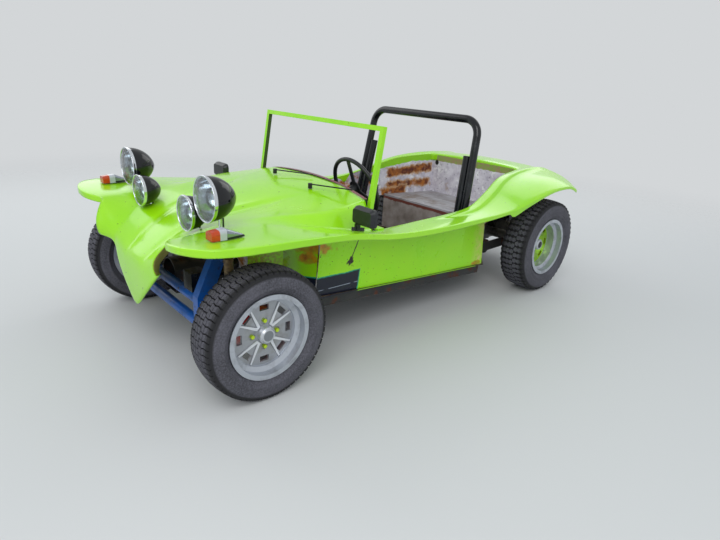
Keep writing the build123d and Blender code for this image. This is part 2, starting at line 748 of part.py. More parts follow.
def lamp_glass(side, x, s, z, glass_r):
    edge = glass_r + LAMP_EDGE
    front = -GLASS - GLASS_RISE - GAP
    dome_r = (GLASS_RISE ** 2 + edge ** 2) / (2 * GLASS_RISE)
    with BuildPart() as glass:
        with BuildSketch(lamp_plane(side, x, s, z)):
            with BuildLine():
                Polyline((front, 0), (front, edge), (-GAP, edge), (-GAP, 0), close=True)
            make_face()
        revolve(axis=Axis((side * x, behind_front(s), z), (0, 1, 0)))
        with Locations((side * x, behind_front(s) + dome_r - GLASS_RISE - GLASS, z)):
            Sphere(dome_r, mode=Mode.INTERSECT)
            Sphere(dome_r - GLASS, mode=Mode.SUBTRACT)
    return glass.part


with BuildPart() as lamp_glasses:
    for x, s, z, glass_r, length in LAMPS:
        for side in (-1, 1):
            add(lamp_glass(side, x, s, z, glass_r))
save(lamp_glasses.part, "lamp_glasses")

# Turn signals on the front wings: a tapered housing behind an upright lens
SIGNAL_X = 676
SIGNAL_W = 60
SIGNAL_H = 46
SIGNAL = (-218, -150, -62)      # front of the lens, joint, tail; behind the front axle
signal_z = GAP + max(side_top(s, SIGNAL_X + dx, WING_SPREAD)
                     for s in SIGNAL for dx in (-SIGNAL_W / 2, SIGNAL_W / 2))


def signal_section(s, scale):
    """Section of a signal with its top corners rounded, scaled down to its flat foot."""
    with BuildSketch(upright(behind_front(s))) as section:
        with Locations((SIGNAL_X, signal_z + SIGNAL_H * scale / 2)):
            Rectangle(SIGNAL_W * (1 + scale) / 2, SIGNAL_H * scale)
        fillet(section.vertices().sort_by(Axis.Y)[-2:], radius=0.4 * SIGNAL_H * scale)
    return section.sketch


for name, ends in (("signal_lenses", ((SIGNAL[0], 0.85), (SIGNAL[1] - GAP, 1))),
                   ("signal_housings", ((SIGNAL[1], 1), (SIGNAL[2], 0.15)))):
    with BuildPart() as signal:
        for s, scale in ends:
            add(signal_section(s, scale))
        loft(ruled=True)
        mirror(about=Plane.YZ)
    save(signal.part, name)

# Door mirrors on the side decks
MIRROR_X = 682
MIRROR_S = 598
MIRROR_HEAD = (160, 96)
MIRROR_DEPTH = (14, 22)     # straight edge round the glass, then the tapered shell
MIRROR_FOOT = (17, 42)      # half width and half length
with BuildPart() as mirrors:
    mirror_z = side_top(MIRROR_S, MIRROR_X)
    fore, aft = [side_top(MIRROR_S + ds, MIRROR_X) for ds in (-MIRROR_FOOT[1], MIRROR_FOOT[1])]
    lean = side_top(MIRROR_S, MIRROR_X + 1) - mirror_z
    with BuildSketch(Plane(origin=(MIRROR_X, behind_front(MIRROR_S), mirror_z + 4 * GAP),
                           x_dir=(1, 0, lean),
                           z_dir=(-lean, (fore - aft) / (2 * MIRROR_FOOT[1]), 1))):
        Ellipse(*MIRROR_FOOT)
    extrude(amount=18)
    with BuildSketch(Plane.XY.offset(mirror_z + 12)):
        with Locations((MIRROR_X + 6, behind_front(MIRROR_S - 10))):
            Rectangle(20, 24)
    extrude(amount=30)
    glass_y = behind_front(MIRROR_S)
    for y, depth, taper in ((glass_y, MIRROR_DEPTH[0], 0),
                            (glass_y - MIRROR_DEPTH[0], MIRROR_DEPTH[1], 30)):
        with BuildSketch(upright(y)):
            with Locations((MIRROR_X + 60, mirror_z + 40 + MIRROR_HEAD[1] / 2)):
                RectangleRounded(*MIRROR_HEAD, 26)
        extrude(amount=depth, taper=taper)
    mirror(about=Plane.YZ)
save(mirrors.part, "mirrors")

# Wipers: two pivots with an arm lying across the bonnet
WIPERS = ((-119, 617), (279, 588))
WIPER_R = 12
with BuildPart() as wipers:
    for x, s in WIPERS:
        foot = bonnet_under(abs(x), s, WIPER_R) + GAP
        with BuildSketch(Plane.XY.offset(foot)):
            with Locations((x, behind_front(s))):
                Circle(WIPER_R)
        extrude(amount=28)
        with BuildSketch(Plane.XY.offset(foot + 20)):
            with BuildLine():
                Polyline((x, behind_front(s) - 5), (x + 230, behind_front(s) + 105),
                         (x + 230, behind_front(s) + 113), (x, behind_front(s) + 5), close=True)
            make_face()
        extrude(amount=6)
save(wipers.part, "wipers")


# Wheels
def well_section(plane, w):
    """Rim barrel: flanges, bead seats and the dropped well, over the half width w."""
    flange = RIM_R + RIM_FLANGE
    well = RIM_R - WELL
    with BuildSketch(plane) as section:
        with BuildLine():
            Polyline((-w, flange), (-w + BARREL, flange), (-w + BARREL, RIM_R),
                     (-w + 40, RIM_R), (-w + 52, well), (w - 52, well), (w - 40, RIM_R),
                     (w - BARREL, RIM_R), (w - BARREL, flange), (w, flange),
                     (w, RIM_R - BARREL), (w - 38, RIM_R - BARREL), (w - 50, well - BARREL),
                     (-w + 50, well - BARREL), (-w + 38, RIM_R - BARREL), (-w, RIM_R - BARREL),
                     close=True)
        make_face()
    return section.sketch


def rim(track, axle_y, tyre_r, rim_w, disc_in, plate_x, ribbed):
    """Left wheel: barrel, windowed disc, hub cap, lug nuts, and the brake drum behind it."""
    centre = track / 2
    face_x = centre + rim_w / 2 - disc_in
    axle = Axis((centre, axle_y, tyre_r), (1, 0, 0))
    disc = Plane(origin=(face_x, axle_y, tyre_r), x_dir=(0, 1, 0), z_dir=(1, 0, 0))
    with BuildPart() as wheel:
        add(well_section(Plane(origin=(centre, axle_y, tyre_r), x_dir=(1, 0, 0),
                               z_dir=(0, -1, 0)), rim_w / 2))
        revolve(axis=axle)
        with BuildSketch(disc):
            Circle(RIM_R - WELL - BARREL / 2)
            with PolarLocations(WINDOW_AT, WINDOWS):
                RectangleRounded(*WINDOW, 3, mode=Mode.SUBTRACT)
        extrude(amount=-DISC)
        if ribbed:
            with BuildSketch(disc):
                with PolarLocations(0, LUGS, start_angle=45):
                    Polygon(*RIB_PAIR, *[(r, -t) for r, t in RIB_PAIR[:0:-1]], align=None)
            extrude(amount=RIB_RISE, taper=20)
        with BuildSketch(disc):
            with PolarLocations(LUG_PCD_R, LUGS):
                Circle(LUG_SEAT_R)
        extrude(amount=-LUG_SEAT, mode=Mode.SUBTRACT)
        with BuildSketch(disc.offset(-LUG_SEAT)):
            with PolarLocations(LUG_PCD_R, LUGS):
                RegularPolygon(10, 6)
        extrude(amount=LUG_SEAT + 10)
        with BuildSketch(disc):
            Circle(HUB_CAP_R)
        extrude(amount=HUB_CAP_RISE - HUB_CAP_BEVEL, taper=4)
        with BuildSketch(disc.offset(HUB_CAP_RISE - HUB_CAP_BEVEL)):
            Circle(HUB_CAP_R - 3)
        extrude(amount=HUB_CAP_BEVEL, taper=45)
        drum_x = plate_x + RUN
        with BuildSketch(lengthwise(drum_x)):
            with Locations((axle_y, tyre_r)):
                Circle(DRUM_R - 12)
        extrude(amount=face_x - DISC - drum_x)
        with BuildSketch(lengthwise(drum_x)):
            with Locations((axle_y, tyre_r)):
                Circle(SPINDLE_R + BEARING)
        extrude(amount=face_x - DISC - drum_x, mode=Mode.SUBTRACT)
    return wheel.part


def tyre(track, axle_y, tyre_r, tyre_w, rim_w):
    bead = RIM_R + GAP
    top = bead + RIM_FLANGE
    seat = rim_w / 2 - BARREL - GAP
    w = tyre_w / 2
    shoulder = 0.78 * w + 6
    with BuildPart() as ring:
        with BuildSketch(Plane(origin=(track / 2, axle_y, tyre_r), x_dir=(1, 0, 0),
                               z_dir=(0, -1, 0))):
            with BuildLine():
                Polyline((-seat, top), (-seat, bead), (seat, bead), (seat, top))
                ThreePointArc((seat, top), (w, (bead + tyre_r) / 2), (shoulder, tyre_r - 9))
                ThreePointArc((shoulder, tyre_r - 9), (0, tyre_r), (-shoulder, tyre_r - 9))
                ThreePointArc((-shoulder, tyre_r - 9), (-w, (bead + tyre_r) / 2), (-seat, top))
            make_face()
        revolve(axis=Axis((track / 2, axle_y, tyre_r), (1, 0, 0)))
    return ring.part


FRONT_PLATE_X = KINGPIN_X + 26      # outer faces of the backing plates
REAR_PLATE_X = 580
save_pair(rim(FRONT_TRACK, FRONT_AXLE_Y, FRONT_TYRE_R, FRONT_RIM_W, FRONT_DISC_IN,
              FRONT_PLATE_X, True), "front_rim")
save_pair(rim(REAR_TRACK, REAR_AXLE_Y, REAR_TYRE_R, REAR_RIM_W, REAR_DISC_IN, REAR_PLATE_X,
              False), "rear_rim")
save_pair(tyre(FRONT_TRACK, FRONT_AXLE_Y, FRONT_TYRE_R, FRONT_TYRE_W, FRONT_RIM_W),
          "front_tyre")
save_pair(tyre(REAR_TRACK, REAR_AXLE_Y, REAR_TYRE_R, REAR_TYRE_W, REAR_RIM_W), "rear_tyre")


# Floor pan: a flanged tray, the tunnel, the torsion housing and the engine horns
beam_y = behind_front(-BEAM_AHEAD)
torsion_y = behind_rear(-TORSION_AHEAD)


def pan_layer(low, high, inset):
    """Slice of the pan between two heights over its sloping flange, inset from the outline."""
    y0 = behind_front(0)
    with BuildPart() as layer:
        with BuildSketch(lengthwise(-2 * PAN_HALF)):
            with BuildLine():
                Polyline((y0, flange_z(y0) + low), (torsion_y, flange_z(torsion_y) + low),
                         (torsion_y, flange_z(torsion_y) + high), (y0, flange_z(y0) + high),
                         close=True)
            make_face()
        extrude(amount=4 * PAN_HALF)
        half = [(PAN_REAR_HALF, torsion_y), (PAN_HALF, behind_rear(-PANEL_END_AHEAD)),
                (PAN_HALF, behind_front(PANEL_START)), (TOE_HALF, behind_front(TOE_BEND)),
                (TOE_HALF, behind_front(TOE))]
        with BuildSketch():
            with BuildLine():
                Polyline(*half, *[(-x, y) for x, y in half[::-1]], close=True)
            make_face()
            if inset:
                offset(amount=-inset, kind=Kind.INTERSECTION, mode=Mode.REPLACE)
        extrude(amount=SCREEN_TOP_Z, mode=Mode.INTERSECT)
    return layer.part


def tunnel(y_front, y_rear, inset):
    """The tunnel's outside, or its inside at the sheet's thickness."""
    half = TUNNEL_HALF - inset
    with BuildPart() as length:
        for y in (y_front, y_rear):
            low = flange_z(y) - TRAY_DEPTH + inset
            high = flange_z(y) + TUNNEL_RISE - inset
            with BuildSketch(upright(y)):
                with BuildLine():
                    Polyline((-half, high - 50), (-half, low), (half, low), (half, high - 50))
                    ThreePointArc((half, high - 50), (0, high), (-half, high - 50))
                make_face()
        loft(ruled=True)
    return length.part


with BuildPart() as chassis:
    add(pan_layer(-SHEET, 0, 0))
    add(pan_layer(-TRAY_DEPTH, 0, PAN_HALF - TRAY_HALF))
    add(pan_layer(SHEET - TRAY_DEPTH, SHEET, PAN_HALF - TRAY_HALF + SHEET), mode=Mode.SUBTRACT)
    tunnel_y = beam_y + BEAM_TUBE_R + GAP
    add(tunnel(tunnel_y, torsion_y, 0))
    add(tunnel(tunnel_y - 1, torsion_y, SHEET), mode=Mode.SUBTRACT)
    seat_y = behind_front(SEAT_BEHIND)
    ends = (seat_y - RAIL_LONG / 2, seat_y + RAIL_LONG / 2)
    rails = [side * SEAT_X + dx for side in (-1, 1)
             for dx in (-SEAT_SPACING[0] / 2, SEAT_SPACING[0] / 2)]
    for x in rails:
        with BuildSketch(lengthwise(x - RAIL_W / 2)):
            with BuildLine():
                Polyline(*[(y, flange_z(y) - TRAY_DEPTH + 1) for y in ends],
                         *[(y, RAIL_Z) for y in ends[::-1]], close=True)
            make_face()
        extrude(amount=RAIL_W)
    with BuildSketch(Plane.XY.offset(RAIL_Z)):
        with Locations([(x, seat_y + dy) for x in rails
                        for dy in (-SEAT_SPACING[1] / 2, SEAT_SPACING[1] / 2)]):
            Circle(SEAT_BOLT_R)
    extrude(amount=-RAIL_Z, mode=Mode.SUBTRACT)
    with BuildSketch(upright(torsion_y)):
        floor = flange_z(torsion_y) - TRAY_DEPTH
        with Locations((0, (floor + TORSION_Z) / 2)):
            Rectangle(2 * (PAN_REAR_HALF - SHEET), TORSION_Z - floor)
    extrude(amount=SHEET)
    with BuildSketch(lengthwise(-TORSION_HALF)):
        with Locations((torsion_y, TORSION_Z)):
            Circle(TORSION_R)
    extrude(amount=2 * TORSION_HALF)
    horn_top = REAR_TYRE_R - 50
    for side in (-1, 1):
        with BuildSketch(upright(torsion_y)):
            with Locations((side * HORN_X, horn_top - 22)):
                Rectangle(44, 44)
        extrude(amount=-(TORSION_AHEAD + 100))
save(chassis.part, "chassis")

# Front beam: cross tubes, shock towers, trailing arms and the kingpin carriers
with BuildPart() as front_beam:
    arm_levels = (BEAM_Z - BEAM_SPACING / 2, BEAM_Z + BEAM_SPACING / 2)
    for z in arm_levels:
        with BuildSketch(lengthwise(-BEAM_HALF)):
            with Locations((beam_y, z)):
                Circle(BEAM_TUBE_R)
        extrude(amount=2 * BEAM_HALF)
    with BuildSketch(lengthwise(BEAM_HALF - TOWER_W)):
        with BuildLine():
            Polyline((beam_y - 38, BEAM_Z - 95), (beam_y + 38, BEAM_Z - 95),
                     (beam_y + 38, BEAM_Z + 95), (beam_y + 120, BEAM_Z + 290),
                     (beam_y + 60, BEAM_Z + 310), (beam_y - 38, BEAM_Z + 100), close=True)
        make_face()
    extrude(amount=TOWER_W)
    arm_x = BEAM_HALF - 1
    for z in arm_levels:
        with BuildSketch(lengthwise(arm_x)):
            with BuildLine():
                Polyline((beam_y - 30, z - 24), (beam_y - 30, z + 24),
                         (FRONT_AXLE_Y + 20, z + 4), (FRONT_AXLE_Y + 20, z - 24), close=True)
            make_face()
        extrude(amount=ARM_W)
    shock_y = FRONT_AXLE_Y - SHOCK_AHEAD
    with BuildSketch(lengthwise(arm_x + ARM_W)):
        with Locations((shock_y, arm_levels[0])):
            Circle(10)
    extrude(amount=SHOCK_X - SHOCK_R - GAP - arm_x - ARM_W)
    with BuildSketch(lengthwise(arm_x)):
        with Locations((shock_y, SHOCK_TOP_Z)):
            Circle(12)
    extrude(amount=SHOCK_X - SHOCK_R - GAP - arm_x)
    post_low = FRONT_TYRE_R - 80
    post_high = FRONT_TYRE_R + 92
    with BuildSketch(lengthwise(arm_x + ARM_W - 1)):
        with Locations((FRONT_AXLE_Y + 6, (post_low + post_high) / 2)):
            Rectangle(28, post_high - post_low + 30)
    extrude(amount=16)
    lug_x = arm_x + ARM_W
    for z in (post_low - 15, post_high):
        with BuildSketch(Plane.XY.offset(z)):
            with Locations(((lug_x + KINGPIN_X + 8) / 2, FRONT_AXLE_Y)):
                Rectangle(KINGPIN_X + 8 - lug_x, 28)
        extrude(amount=15)
    mirror(about=Plane.YZ)
save(front_beam.part, "front_beam")

with BuildPart() as front_shocks:
    with BuildSketch(Plane.XY.offset(arm_levels[0] - SHOCK_R)):
        with Locations((SHOCK_X, shock_y)):
            Circle(SHOCK_R)
    extrude(amount=SHOCK_TOP_Z + 2 * SHOCK_R - arm_levels[0])
    mirror(about=Plane.YZ)
save(front_shocks.part, "front_shocks")

# Knuckles: kingpin post, backing plate, spindle and steering arm
with BuildPart() as knuckle:
    with BuildSketch(Plane.XY.offset(post_low + GAP)):
        with Locations((KINGPIN_X, FRONT_AXLE_Y)):
            Circle(KINGPIN_R)
    extrude(amount=post_high - post_low - 2 * GAP)
    with BuildSketch(lengthwise(KINGPIN_X)):
        with Locations((FRONT_AXLE_Y, FRONT_TYRE_R)):
            Circle(24)
    extrude(amount=FRONT_PLATE_X - KINGPIN_X)
    with BuildSketch(lengthwise(KINGPIN_X)):
        with Locations((FRONT_AXLE_Y, FRONT_TYRE_R)):
            Circle(SPINDLE_R)
    spindle_end = FRONT_TRACK / 2 + FRONT_RIM_W / 2 - FRONT_DISC_IN - DISC - GAP
    extrude(amount=spindle_end - KINGPIN_X)
    with BuildSketch(lengthwise(FRONT_PLATE_X)):
        with Locations((FRONT_AXLE_Y, FRONT_TYRE_R)):
            Circle(DRUM_R)
    extrude(amount=-SHEET)
    with BuildSketch(Plane.XY.offset(STEER_ARM_Z)):
        with BuildLine():
            Polyline((KINGPIN_X + 14, FRONT_AXLE_Y - 10), (KINGPIN_X + 14, FRONT_AXLE_Y + 20),
                     (KINGPIN_X - EYE_IN + 16, FRONT_AXLE_Y + STEER_ARM + 14),
                     (KINGPIN_X - EYE_IN - 16, FRONT_AXLE_Y + STEER_ARM + 14),
                     (KINGPIN_X - EYE_IN - 16, FRONT_AXLE_Y + STEER_ARM - 14),
                     (KINGPIN_X - 14, FRONT_AXLE_Y - 10), close=True)
        make_face()
    extrude(amount=STEER_ARM_T)
save_pair(knuckle.part, "knuckle")

# Tie rods: one bar under the steering arms' eyes, where the linkage is opened
with BuildPart() as tie_rods:
    eye_x = KINGPIN_X - EYE_IN
    rod_y = FRONT_AXLE_Y + STEER_ARM
    eye_low = STEER_ARM_Z - 2 * GAP - EYE_T
    with BuildSketch(lengthwise(-eye_x)):
        with Locations((rod_y, eye_low + EYE_T / 2)):
            Circle(TIE_ROD_R)
    extrude(amount=2 * eye_x)
    with BuildSketch(Plane.XY.offset(eye_low)):
        with Locations((eye_x, rod_y), (-eye_x, rod_y)):
            Circle(EYE_R)
    extrude(amount=EYE_T)
save(tie_rods.part, "tie_rods")

# Steering wheel with its shaft, and the column that carries it
SHAFT_IN = 200
with BuildPart() as steering_wheel:
    with BuildSketch(Plane(origin=hub, x_dir=(1, 0, 0), z_dir=shaft.cross(Vector(1, 0, 0)))):
        with Locations((WHEEL_RIM_R, 0)):
            Circle(WHEEL_GRIP_R)
    revolve(axis=Axis(hub, shaft))
    with BuildSketch(wheel_plane.offset(-8)):
        Circle(42)
        for turn in (0, 120, 240):
            with PolarLocations(WHEEL_RIM_R / 2, 1, start_angle=turn - 90):
                Rectangle(WHEEL_RIM_R, 26)
    extrude(amount=7)
    with BuildSketch(wheel_plane.offset(-BOSS)):
        Circle(24)
    extrude(amount=BOSS)
    with BuildSketch(wheel_plane.offset(-BOSS)):
        Circle(STEER_SHAFT_R)
    extrude(amount=-SHAFT_IN)
save(steering_wheel.part, "steering_wheel")

BOX_FRONT = 165             # steering box ahead of the front axle
BOX_REAR = 85
column_length = (WHEEL_BEHIND + BOX_REAR + 20) / cos(radians(COLUMN_RISE))
with BuildPart() as steering_column:
    with BuildSketch(wheel_plane.offset(-BOSS - RUN)):
        Circle(COLUMN_R)
    extrude(amount=BOSS + RUN - column_length)
    box_low = arm_levels[1] + BEAM_TUBE_R + GAP
    box_high = WHEEL_Z - (WHEEL_BEHIND + BOX_REAR) * sin(radians(COLUMN_RISE)) + 50
    with BuildSketch(Plane.XY.offset(box_low)):
        with Locations((WHEEL_X, FRONT_AXLE_Y - (BOX_FRONT + BOX_REAR) / 2)):
            Rectangle(90, BOX_FRONT - BOX_REAR)
    extrude(amount=box_high - box_low)
    with BuildSketch(wheel_plane.offset(-BOSS - RUN)):
        Circle(STEER_SHAFT_R + BEARING)
    extrude(amount=-SHAFT_IN, mode=Mode.SUBTRACT)
save(steering_column.part, "steering_column")

# Pedals on the toe board, and the gear lever on the tunnel
with BuildPart() as pedals:
    for x in (200, 290, 380):
        with BuildSketch(upright(behind_front(TOE) + SKIN + GAP)):
            with Locations((x, 420)):
                Rectangle(12, 90)
        extrude(amount=-70)
        with BuildSketch(upright(behind_front(TOE) + SKIN + GAP + 70)):
            with Locations((x, 440)):
                Rectangle(54, 70)
        extrude(amount=-10)
save(pedals.part, "pedals")

LEVER_S = 1000
with BuildPart() as gear_lever:
    lever_y = behind_front(LEVER_S)
    lever_z = flange_z(lever_y - 30) + TUNNEL_RISE + GAP
    with BuildSketch(Plane.XY.offset(lever_z)):
        with Locations((0, lever_y)):
            Circle(30)
    extrude(amount=20, taper=30)
    with BuildSketch(Plane.XY.offset(lever_z + 15)):
        with Locations((0, lever_y)):
            Circle(7)
    extrude(amount=210)
    with BuildSketch(Plane.XY.offset(lever_z + 215)):
        with Locations((0, lever_y)):
            Circle(18)
    extrude(amount=34)
save(gear_lever.part, "gear_lever")

# Transaxle with its axle tubes, bearing flanges and backing plates
FLANGE_X = TORSION_HALF + 9
with BuildPart() as transaxle:
    nose_y = torsion_y + TORSION_R + GAP
    for y, w, h, r in ((nose_y, 130, 100, 30), (behind_rear(-80), 190, 230, 40),
                       (behind_rear(BELL_END), 320, 330, 110)):
        with BuildSketch(upright(y)):
            with Locations((0, CRANK_Z)):
                RectangleRounded(w, h, r)
    loft(ruled=True)
    with BuildSketch(lengthwise(-REAR_PLATE_X)):
        with Locations((REAR_AXLE_Y, REAR_TYRE_R)):
            Circle(36)
    extrude(amount=2 * REAR_PLATE_X)
    axle_end = REAR_TRACK / 2 + REAR_RIM_W / 2 - REAR_DISC_IN - DISC - GAP
    with BuildSketch(lengthwise(-axle_end)):
        with Locations((REAR_AXLE_Y, REAR_TYRE_R)):
            Circle(SPINDLE_R)
    extrude(amount=2 * axle_end)
    for side in (-1, 1):
        with BuildSketch(lengthwise(side * (REAR_PLATE_X - SHEET))):
            with Locations((REAR_AXLE_Y, REAR_TYRE_R)):
                Circle(DRUM_R)
        extrude(amount=side * SHEET)
        with BuildSketch(lengthwise(side * FLANGE_X)):
            with Locations((REAR_AXLE_Y, REAR_TYRE_R)):
                Circle(58)
        extrude(amount=side * 20)
        with BuildSketch(Plane.XY.offset(horn_top + GAP)):
            with Locations((side * (HORN_X - 14), behind_rear(80))):
                Rectangle(72, 30)
        extrude(amount=24)
save(transaxle.part, "transaxle")

# Spring plates, from the torsion housing to the axle tubes
with BuildPart() as spring_plates:
    with BuildSketch(lengthwise(TORSION_HALF + GAP)):
        with BuildLine():
            Polyline((torsion_y - 60, TORSION_Z - 34), (torsion_y - 60, TORSION_Z + 34),
                     (REAR_AXLE_Y + 60, REAR_TYRE_R + 34), (REAR_AXLE_Y + 60, REAR_TYRE_R - 34),
                     close=True)
        make_face()
        with Locations((REAR_AXLE_Y, REAR_TYRE_R)):
            Circle(58)
            Circle(36 + GAP, mode=Mode.SUBTRACT)
    extrude(amount=8)
    mirror(about=Plane.YZ)
save(spring_plates.part, "spring_plates")

# Engine: crankcase, flat finned cylinders with their heads and rocker covers, fan shroud,
# generator and belt, and the carburettor under its air cleaner
CYLINDER_Z = CRANK_Z + 10
CYLINDERS = (BELL_END + 70, BELL_END + 210)
CYLINDER_R = 56
BLOCK_HALF = 115            # half width of the crankcase
FIN_PITCH = 16
FIN = 4
HEAD_IN = 235               # inner face of the heads
COVER = 45                  # width of a rocker cover
SHROUD_AT = BELL_END + 40
SHROUD_LONG = 120
GENERATOR_Z = SHROUD_TOP - 170
GENERATOR_R = 58
SMALL_PULLEY_R = 46
BELT_W = 12
BELT_T = 8
INTAKE_X = 150
CLEANER_R = 68


def belt_loop(clearance):
    """Outline round the crank's pulley and the generator's."""
    with BuildSketch() as loop:
        for z, r in ((CRANK_Z, PULLEY_R), (GENERATOR_Z, SMALL_PULLEY_R)):
            with Locations((0, z)):
                Circle(r + clearance)
        make_hull()
    return loop.sketch


with BuildPart() as engine:
    with BuildSketch(upright(behind_rear(BELL_END) + GAP)):
        with Locations((0, CRANK_Z - 10)):
            RectangleRounded(2 * BLOCK_HALF, 300, 40)
    extrude(amount=-(CASE_END - BELL_END))
    for r in CYLINDERS:
        with BuildSketch(lengthwise(-HEAD_IN)):
            with Locations((behind_rear(r), CYLINDER_Z)):
                Circle(CYLINDER_R)
        extrude(amount=2 * HEAD_IN)
    fins = [side * x for side in (-1, 1) for x in range(BLOCK_HALF + 10, HEAD_IN, FIN_PITCH)]
    for x in fins:
        with BuildSketch(lengthwise(x)):
            with Locations([(behind_rear(r), CYLINDER_Z) for r in CYLINDERS]):
                Rectangle(130, 136)
        extrude(amount=FIN)
    for side in (-1, 1):
        for x, length, high, r in ((HEAD_IN, HEAD_HALF - COVER - HEAD_IN, 136, 10),
                                   (HEAD_HALF - COVER, COVER, 96, 30)):
            with BuildSketch(lengthwise(side * x)):
                with Locations((behind_rear(sum(CYLINDERS) / 2), CYLINDER_Z)):
                    RectangleRounded(270, high, r)
            extrude(amount=side * length)
    with BuildSketch(upright(behind_rear(SHROUD_AT))):
        with BuildLine():
            Polyline((-170, SHROUD_TOP - 60), (-330, CRANK_Z + 230), (-330, CRANK_Z + 60),
                     (330, CRANK_Z + 60), (330, CRANK_Z + 230), (170, SHROUD_TOP - 60))
            ThreePointArc((170, SHROUD_TOP - 60), (0, SHROUD_TOP), (-170, SHROUD_TOP - 60))
        make_face()
    extrude(amount=-SHROUD_LONG)
    generator_y = behind_rear(SHROUD_AT + SHROUD_LONG)
    pulley_y = behind_rear(CASE_END)
    for y, z, length, r in ((generator_y, GENERATOR_Z, 8, 120),
                            (generator_y, GENERATOR_Z, pulley_y - generator_y, GENERATOR_R),
                            (pulley_y, GENERATOR_Z, PULLEY_W, SMALL_PULLEY_R),
                            (pulley_y, CRANK_Z, PULLEY_W, PULLEY_R)):
        with BuildSketch(upright(y)):
            with Locations((0, z)):
                Circle(r)
        extrude(amount=-length)
    with BuildSketch(upright(pulley_y + (PULLEY_W - BELT_W) / 2)):
        add(belt_loop(GAP + BELT_T))
        add(belt_loop(GAP), mode=Mode.SUBTRACT)
    extrude(amount=-BELT_W)
    with BuildSketch(upright(generator_y + 40)):
        with Locations((0, (CRANK_Z + GENERATOR_Z) / 2 + 40)):
            RectangleRounded(110, 160, 20)
    extrude(amount=-60)
    for z, high, r in ((CRANK_Z + 120, 160, 24), (CRANK_Z + 200, 70, 34),
                       (CRANK_Z + 270, 64, CLEANER_R)):
        with BuildSketch(Plane.XY.offset(z)):
            with Locations((INTAKE_X, generator_y + CLEANER_R + GAP)):
                Circle(r)
        extrude(amount=high)
save(engine.part, "engine")

# Exhaust: a cross silencer on two pipes from the cylinder heads, with two tail pipes
TAIL_PIPE_R = 22
with BuildPart() as exhaust:
    silencer_y = behind_rear(REAR_OVERHANG - SILENCER_R)
    with BuildSketch(lengthwise(-300)):
        with Locations((silencer_y, SILENCER_Z)):
            Circle(SILENCER_R)
    extrude(amount=600)
    pipe_y = behind_rear(BELL_END + 275) + GAP
    with BuildSketch(upright(pipe_y)):
        with Locations((260, SILENCER_Z + 46), (-260, SILENCER_Z + 46)):
            Circle(20)
    extrude(amount=-(silencer_y - pipe_y))
    with BuildSketch(Plane.XY.offset(SILENCER_Z)):
        with Locations((120, silencer_y), (-120, silencer_y)):
            Circle(TAIL_PIPE_R)
    extrude(amount=-2 * SILENCER_R)
save(exhaust.part, "exhaust")
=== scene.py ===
import json
import random
from math import cos, pi, radians, sin

import bmesh
import bpy
from mathutils import Matrix, Vector


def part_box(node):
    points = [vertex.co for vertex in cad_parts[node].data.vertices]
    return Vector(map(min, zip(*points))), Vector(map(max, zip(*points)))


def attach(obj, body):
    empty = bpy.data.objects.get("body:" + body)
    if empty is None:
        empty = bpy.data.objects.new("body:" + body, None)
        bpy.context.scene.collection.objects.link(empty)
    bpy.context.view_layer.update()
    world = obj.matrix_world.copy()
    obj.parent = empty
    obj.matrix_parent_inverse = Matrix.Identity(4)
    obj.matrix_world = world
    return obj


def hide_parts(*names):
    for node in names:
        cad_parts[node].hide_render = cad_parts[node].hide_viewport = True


# An open glass-fibre dune buggy: a lime-green shell on a rear-engined floor pan, long in use.
# The frame is in metres: forward is -Y, the car's left is +X and the ground is Z = 0.
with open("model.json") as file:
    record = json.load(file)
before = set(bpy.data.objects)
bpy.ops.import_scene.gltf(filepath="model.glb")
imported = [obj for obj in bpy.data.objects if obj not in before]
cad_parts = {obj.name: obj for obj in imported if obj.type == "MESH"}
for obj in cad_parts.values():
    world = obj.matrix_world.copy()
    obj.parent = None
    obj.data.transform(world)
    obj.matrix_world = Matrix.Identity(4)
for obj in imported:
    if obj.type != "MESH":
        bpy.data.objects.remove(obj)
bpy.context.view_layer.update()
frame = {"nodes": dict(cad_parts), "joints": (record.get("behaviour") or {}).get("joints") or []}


# Floor pan: pressed steel sheets spot-welded to a tunnel, with the torsion housing across its
# rear end and two horns that carry the engine. It was painted black with a brush. Rust comes
# up in spots, dry earth lies on the floor, and the shell's paint runs over its flange.
def joint_at(name):
    """The place of a joint of the frame, in metres."""
    return [joint for joint in frame["joints"] if joint["name"] == name][0]["pos_m"]


MM = 0.001
FRONT_AXLE_Y = joint_at("roll_front_left")[1]
REAR_AXLE_Y = joint_at("roll_rear_left")[1]
FLANGE_PAINT_Y = (-0.92, 0.46)      # the flange is painted between these places
# It is painted down to a line just under the side panel; y and z of the line's two ends
FLANGE_LINE = ((FRONT_AXLE_Y + 0.4, 0.325), (REAR_AXLE_Y - 0.532, 0.252))
NAVY = "#050E26"            # hand-painted patch low on the side
NAVY_REAR_Y = -0.634


def linear(code):
    """The linear colour of an sRGB hex value."""
    parts = [int(code[i:i + 2], 16) / 255 for i in (1, 3, 5)]
    return [p / 12.92 if p < 0.04045 else ((p + 0.055) / 1.055) ** 2.4 for p in parts] + [1]


def add_node(material, kind, sockets, **settings):
    """One shader node: its settings, and for each socket a value or the output linked to it."""
    tree = material.node_tree
    made = tree.nodes.new("ShaderNode" + kind) if kind else tree.nodes["Principled BSDF"]
    for name, value in settings.items():
        setattr(made, name, value)
    for socket, value in sockets.items():
        if isinstance(value, bpy.types.NodeSocket):
            tree.links.new(value, made.inputs[socket])
        else:
            made.inputs[socket].default_value = value
    return made


def new_material(name):
    material = bpy.data.materials.new(name)
    material.use_nodes = True
    return material


def place_on(material, direction=False):
    """X, Y and Z of the place on the car in metres, or of the way that the surface faces."""
    of = add_node(material, "TexCoord", {}).outputs["Normal" if direction else "Object"]
    return add_node(material, "SeparateXYZ", {0: of}).outputs


